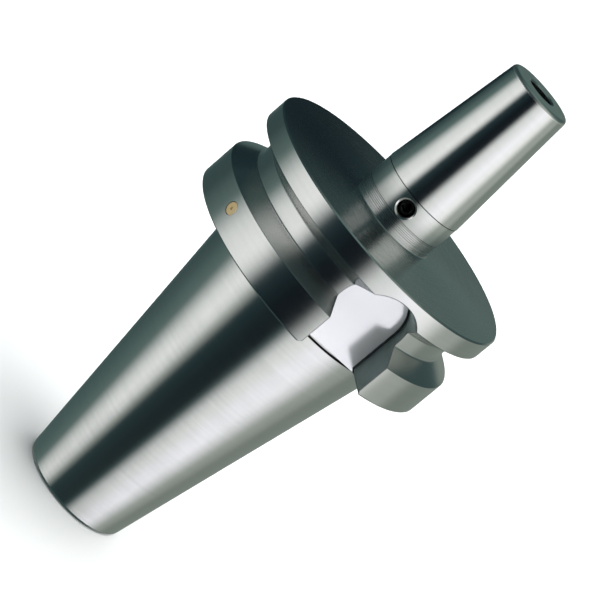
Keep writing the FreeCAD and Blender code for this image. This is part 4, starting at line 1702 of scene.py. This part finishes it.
@dataclass
class LockingScrew:
    """The set screw across the neck, the thread of its hole, and the brass pad in front of it."""

    inner: float = 6.435
    length: float = 7.0
    core: float = 2.42
    crest: float = 2.98
    turns: float = 6.4
    thread_lead: float = 0.3
    point: float = 2.1
    point_run: float = 0.35
    face: float = 2.2
    face_run: float = 0.25
    socket: HexSocket = HexSocket(flats=3.0, depth=3.2)
    hole: float = 3.015
    hole_ridge: float = 0.5
    hole_turns: float = 2.0
    hole_thread_after: float = 6.5
    # Radius and height of each ring of the pad, the first three from its inner end.
    pad_start: float = 4.035
    pad_front: tuple[tuple[float, float], ...] = ((0.0, 0.0), (2.0, 0.0), (2.3, 0.3))
    pad_back: tuple[tuple[float, float], ...] = ((2.3, 0.2), (2.1, 0.0), (0.0, 0.0))

    @staticmethod
    def _across(
        name: str, places: Sequence[tuple[float, float]], socket: Sequence[Ring] = ()
    ) -> TurnedPiece:
        """Lay a turned piece along the locking hole.

        Args:
            name: name of the piece.
            places: radius and distance from the body's axis of each ring.
            socket: the rings of its socket.

        Returns:
            The piece.
        """
        rings = [*(Ring(r, z) for r, z in places), *socket]
        return TurnedPiece(name, rings, (0, 0, LOCKING_HEIGHT), outwards(LOCKING_AZIMUTH))

    def build(self, finish: bpy.types.Material) -> list[bpy.types.Object]:
        """Make the screw and its thread.

        Args:
            finish: material of both.

        Returns:
            The screw and the thread ridge.
        """
        low, high = self.inner, self.inner + self.length
        places = (
            (0.0, low),
            (self.point, low),
            (self.core, low + self.point_run),
            (self.core, high - self.face_run),
            (self.face, high),
        )
        piece = self._across("locking_screw_dressed", places, self.socket.rings(high, up=True))
        screw, start = piece.build(finish), low + self.thread_lead
        thread = Thread.fine(self.core, self.turns, ridge=self.core - self.crest, start=start)
        return [screw, thread.build("locking_screw_thread", finish, piece.matrix())]

    def build_hole_thread(self, finish: bpy.types.Material) -> bpy.types.Object:
        """Wind the thread of the hole, half a pitch behind the screw's, where the screw leaves it open.

        Args:
            finish: its material.

        Returns:
            The thread ridge.
        """
        start = self.inner + self.thread_lead + self.hole_thread_after
        thread = Thread.fine(self.hole, self.hole_turns, ridge=self.hole_ridge, start=start)
        return thread.build("locking_hole_thread", finish, self._across("locking_hole", ()).matrix())

    def build_pad(self, finish: bpy.types.Material) -> bpy.types.Object:
        """Make the soft pad with bevelled edges.

        Args:
            finish: its material.

        Returns:
            The new object.
        """
        places = [(r, self.pad_start + z) for r, z in self.pad_front]
        places += [(r, self.inner - z) for r, z in self.pad_back]
        return self._across("locking_screw_pad_dressed", places).build(finish)


@dataclass
class PassagePlug:
    """A soft plug pressed into the rim, with a punched centre mark."""

    azimuth: float
    radius: float = 2.288
    inner: float = 44.95
    face: float = 49.9
    rounding: float = 0.25
    rounding_steps: int = 4
    # Radius and depth of each ring of the punched mark.
    mark: tuple[tuple[float, float], ...] = ((0.5, 0.0), (0.4, 0.06), (0.28, 0.3), (0.0, 0.4))

    def build(self, name: str, finish: bpy.types.Material) -> bpy.types.Object:
        """Make the plug.

        Args:
            name: name of the piece.
            finish: its material.

        Returns:
            The new object.
        """
        inset, below = self.radius - self.rounding, self.face - self.rounding
        rings = [Ring(0, self.inner), Ring(self.radius, self.inner), Ring(self.radius, below)]
        for k in range(1, self.rounding_steps + 1):
            turn = math.radians(90.0 * k / self.rounding_steps)
            along, out = self.rounding * math.cos(turn), self.rounding * math.sin(turn)
            rings.append(Ring(inset + along, below + out))
        rings += [Ring(radius, self.face - depth) for radius, depth in self.mark]
        return TurnedPiece(name, rings, (0, 0, PLUG_HEIGHT), outwards(self.azimuth)).build(finish)


# Studio.


class Tone(Enum):
    """Colours of the studio's screens as the steel shows them, 0 to 255."""

    INK = (14, 19, 24)
    DUSK = (28, 44, 48)
    PINE = (50, 66, 66)
    FERN = (71, 89, 86)
    MOSS = (84, 102, 98)
    OLIVE = (110, 118, 112)
    GREY = (148, 154, 148)
    PALE = (206, 209, 207)
    CREAM = (230, 231, 229)
    WHITE = (243, 243, 248)

    @property
    def light(self) -> Colour:
        """The colour as linear light."""
        return linear(self.value)


# Angle of each screen around the axis, in degrees from the camera's own direction, and its tone.
Screens = tuple[tuple[float, Tone], ...]


@dataclass(frozen=True)
class SoftLight:
    """A round soft light that shines at the chuck and isn't mirrored."""

    name: str
    place: Place
    size: float
    power: float

    def build(self) -> None:
        """Hang the light."""
        light = bpy.data.lights.new(self.name, "AREA")
        light.shape, light.size, light.energy = "DISK", self.size, self.power
        lamp = link_new(self.name, light)
        lamp.location = self.place
        lamp.rotation_euler = (-Vector(self.place)).to_track_quat("-Z", "Y").to_euler()
        lamp.visible_glossy = False


@dataclass(frozen=True)
class Studio:
    """Pale floor, soft lights and dark and pale screens around the steel: sizes in metres."""

    steel_reflects: float = 0.64
    floor_height: float = -0.1018
    floor_gap: float = 0.00002
    floor_half: float = 6.0
    floor_grey: float = 0.86
    floor_roughness: float = 0.9
    floor_shine: float = 0.1
    card_distance: float = 0.13
    card_width: float = 0.14
    card_heights: tuple[float, float] = (0.03, 0.112)
    card_clouds: float = 12.0
    card_tones: tuple[tuple[float, Tone], ...] = ((0.3, Tone.INK), (0.65, Tone.DUSK))
    lights: tuple[SoftLight, ...] = (
        SoftLight("overhead_soft_light", (0.2, 0.3, 1.6), 2.6, 62.0),
        SoftLight("side_soft_light", (-1.3, 1.0, 1.2), 1.8, 20.0),
    )
    # Where each ring of screens begins to show and shows fully, as the upward part of the direction.
    floor_rise: tuple[float, float] = (-0.7, -0.59)
    low_rise: tuple[float, float] = (-0.5, -0.34)
    high_rise: tuple[float, float] = (0.13, 0.23)
    overhead_rise: tuple[float, float] = (0.8, 0.95)
    floor_screens: Screens = (
        (-180, Tone.MOSS), (-150, Tone.FERN), (-120, Tone.FERN), (-94, Tone.MOSS), (-73, Tone.PALE),
        (-60, Tone.CREAM), (-48, Tone.PALE), (-41, Tone.GREY), (-31, Tone.DUSK), (-6, Tone.INK),
        (9, Tone.INK), (16, Tone.PINE), (29, Tone.PALE), (40, Tone.CREAM), (56, Tone.WHITE),
        (72, Tone.WHITE), (100, Tone.GREY), (122, Tone.OLIVE), (180, Tone.OLIVE),
    )
    low_screens: Screens = (
        (-180, Tone.MOSS), (-155, Tone.PINE), (-125, Tone.PINE), (-94, Tone.MOSS), (-72, Tone.PALE),
        (-46, Tone.CREAM), (-39, Tone.PALE), (-28, Tone.DUSK), (-6, Tone.INK), (11, Tone.INK),
        (25, Tone.PALE), (56, Tone.WHITE), (76, Tone.CREAM), (94, Tone.GREY), (110, Tone.GREY),
        (122, Tone.OLIVE), (180, Tone.OLIVE),
    )
    high_screens: Screens = (
        (-180, Tone.FERN), (-165, Tone.PINE), (-145, Tone.DUSK), (-60, Tone.PINE), (-20, Tone.DUSK),
        (0, Tone.INK), (14, Tone.DUSK), (34, Tone.GREY), (72, Tone.GREY), (98, Tone.FERN),
        (120, Tone.PINE), (155, Tone.PINE), (180, Tone.FERN),
    )
    overhead: Tone = Tone.MOSS
    beneath: Tone = Tone.PINE

    def world(self) -> bpy.types.World:
        """Build the surroundings that the steel mirrors.

        Returns:
            The new world.
        """
        world = bpy.data.worlds.new("studio_screens")
        world.use_nodes = True
        world.node_tree.nodes.clear()
        wire = Wiring(world.node_tree)
        way = wire.add("ShaderNodeTexCoord").outputs["Generated"]
        turn = {"Vector": way, "Angle": -math.radians(CAMERA_BEARING)}
        turned = wire.add("ShaderNodeVectorRotate", turn, rotation_type="Z_AXIS").outputs[0]
        x, y, rise = wire.add("ShaderNodeSeparateXYZ", {0: turned}).outputs
        around = wire.maths("ARCTAN2", y, x)
        share = wire.maths("ADD", wire.maths("DIVIDE", around, 2 * math.pi), 0.5)
        layers = (
            (self.floor_rise, wire.ramp(share, self._stops(self.floor_screens))),
            (self.low_rise, wire.ramp(share, self._stops(self.low_screens))),
            (self.high_rise, wire.ramp(share, self._stops(self.high_screens))),
            (self.overhead_rise, (*self.overhead.light, 1.0)),
        )
        seen: object = (*self.beneath.light, 1.0)
        for span, layer in layers:
            seen = wire.blend(wire.rescale(rise, span, (0.0, 1.0), smooth=True), seen, layer)
        glow = wire.add("ShaderNodeBackground", {"Color": seen, "Strength": 1.0 / self.steel_reflects})
        wire.add("ShaderNodeOutputWorld", {0: glow.outputs[0]})
        return world

    @staticmethod
    def _stops(screens: Screens) -> list[tuple[float, Colour]]:
        """Turn angles and tones into stops of a colour ramp."""
        return [((angle + 180) / 360, tone.light) for angle, tone in screens]

    def dark_card(self) -> bpy.types.Object:
        """Stand a dark card behind the chuck, to the camera's left, that only the steel mirrors.

        Returns:
            The card.
        """
        away = CAMERA_BEARING + 180.0
        back = Vector(outwards(away)) * self.card_distance
        left = Vector(sideways(away)) * self.card_width
        low, high = (Vector((0.0, 0.0, height)) for height in self.card_heights)
        material, wire = new_material("dark_card")
        place = wire.add("ShaderNodeTexCoord").outputs["Object"]
        cloud = wire.noise(place, self.card_clouds)
        colour = wire.ramp(cloud, [(share, tone.light) for share, tone in self.card_tones])
        glow = wire.add("ShaderNodeEmission", {"Color": colour, "Strength": 1.0 / self.steel_reflects})
        wire.add("ShaderNodeOutputMaterial", {0: glow.outputs[0]})
        corners = (back + low, back + left + low, back + left + high, back + high)
        card = board("studio_dark_card", corners, material)
        card.visible_camera = card.visible_diffuse = False
        card.visible_shadow = card.visible_transmission = False
        return card

    def floor(self) -> bpy.types.Object:
        """Lay the pale floor, which the steel doesn't mirror.

        Returns:
            The floor.
        """
        material, wire = new_material("pale_floor")
        inputs = {
            "Base Color": (self.floor_grey, self.floor_grey, self.floor_grey, 1.0),
            "Roughness": self.floor_roughness,
            "Specular IOR Level": self.floor_shine,
        }
        shader = wire.add("ShaderNodeBsdfPrincipled", inputs)
        wire.add("ShaderNodeOutputMaterial", {0: shader.outputs[0]})
        half, z = self.floor_half, self.floor_height - self.floor_gap
        corners = [(x * half, y * half, z) for x, y in ((-1, -1), (1, -1), (1, 1), (-1, 1))]
        floor = board("studio_floor", corners, material)
        floor.visible_glossy = False
        return floor

    def build(self) -> None:
        """Add the floor, the card, the lights and the surroundings."""
        scene = bpy.context.scene
        scene.world = self.world()
        scene.view_settings.view_transform = "Standard"
        scene.view_settings.look = "None"
        floor = self.floor()
        self.dark_card()
        for light in self.lights:
            light.build()


@dataclass(frozen=True)
class PhotographCamera:
    """The camera of the photograph, long lens, rolled with the chuck: angles in degrees, offset in mm."""

    tip: float = 16.185
    roll: float = 40.17
    lens: float = 167.9
    sensor: float = 36.0
    clip: tuple[float, float] = (0.05, 50.0)
    offset: Place = (2.025, -0.751, 888.84)

    def build(self) -> bpy.types.Object:
        """Create the camera and make it the scene's own.

        Returns:
            The camera.
        """
        tip, roll = math.radians(self.tip), math.radians(self.roll)
        out, side = Vector(outwards(CAMERA_BEARING)), Vector(sideways(CAMERA_BEARING))
        axis = Vector((0.0, 0.0, 1.0))
        along = axis * math.cos(tip) - out * math.sin(tip)
        depth = -axis * math.sin(tip) - out * math.cos(tip)
        right = along * math.cos(roll) + side * math.sin(roll)
        up = along * math.sin(roll) - side * math.cos(roll)
        place = -(along * self.offset[0] + side * self.offset[1] + depth * self.offset[2]) * MM
        data = bpy.data.cameras.new("photograph_camera")
        data.lens, data.sensor_width = self.lens, self.sensor
        data.clip_start, data.clip_end = self.clip
        camera = link_new("photograph_camera", data)
        camera.matrix_world = axes_matrix((right, up, -depth), place)
        bpy.context.scene.camera = camera
        return camera


def hand_over(piece: bpy.types.Object, body: str, slot: str, *nodes: str) -> None:
    """Hang a piece on the body that carries it, hide the CAD nodes that it stands for and log its
    triangles.

    Args:
        piece: the piece.
        body: the body that carries it.
        slot: not used.
        nodes: CAD nodes that it stands for.
    """
    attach(piece, body)
    if nodes:
        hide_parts(*nodes)
    triangles = sum(len(face.vertices) - 2 for face in piece.data.polygons)
    LOG.info("%s rides on %s, %d triangles", piece.name, body, triangles)


def main() -> None:
    """Build the pieces in order, then the studio and the camera."""
    logging.basicConfig(level=logging.INFO, format="%(message)s")
    body = ChuckBody()
    finishes = [finish.material() for finish in BODY_FINISHES]
    bored = finishes[Zone.BORE.value]
    hand_over(body.build(finishes), "chuck", "ground_steel", "chuck_body")
    thread = body.pull_stud_thread().build("pull_stud_thread", bored, Matrix.Identity(4))
    hand_over(thread, "chuck", "ground_steel")

    black = BLACK_OXIDE.material()
    adjuster = AdjustingScrew()
    screw, ridge = adjuster.build(black)
    hand_over(screw, "adjuster", "black_oxide_steel", "length_adjusting_screw")
    hand_over(ridge, "adjuster", "black_oxide_steel")
    seal = adjuster.build_seal(SEAL_RUBBER.material())
    hand_over(seal, "adjuster_seal", "seal_rubber", "adjusting_screw_seal")

    locking = LockingScrew()
    screw, ridge = locking.build(black)
    hand_over(screw, "locking_screw", "black_oxide_steel", "radial_locking_screw")
    hand_over(ridge, "locking_screw", "black_oxide_steel")
    hand_over(locking.build_pad(BRASS.material()), "locking_pad", "brass_pad", "locking_screw_pad")
    hand_over(locking.build_hole_thread(bored), "chuck", "ground_steel")

    copper = COPPER.material()
    for name, azimuth in PLUG_AZIMUTHS.items():
        plug = PassagePlug(azimuth).build(f"passage_plug_{name}_dressed", copper)
        hand_over(plug, "chuck", "copper_plug", f"passage_plug_{name}")

    Studio().build()
    PhotographCamera().build()


if __name__ == "__main__":
    main()
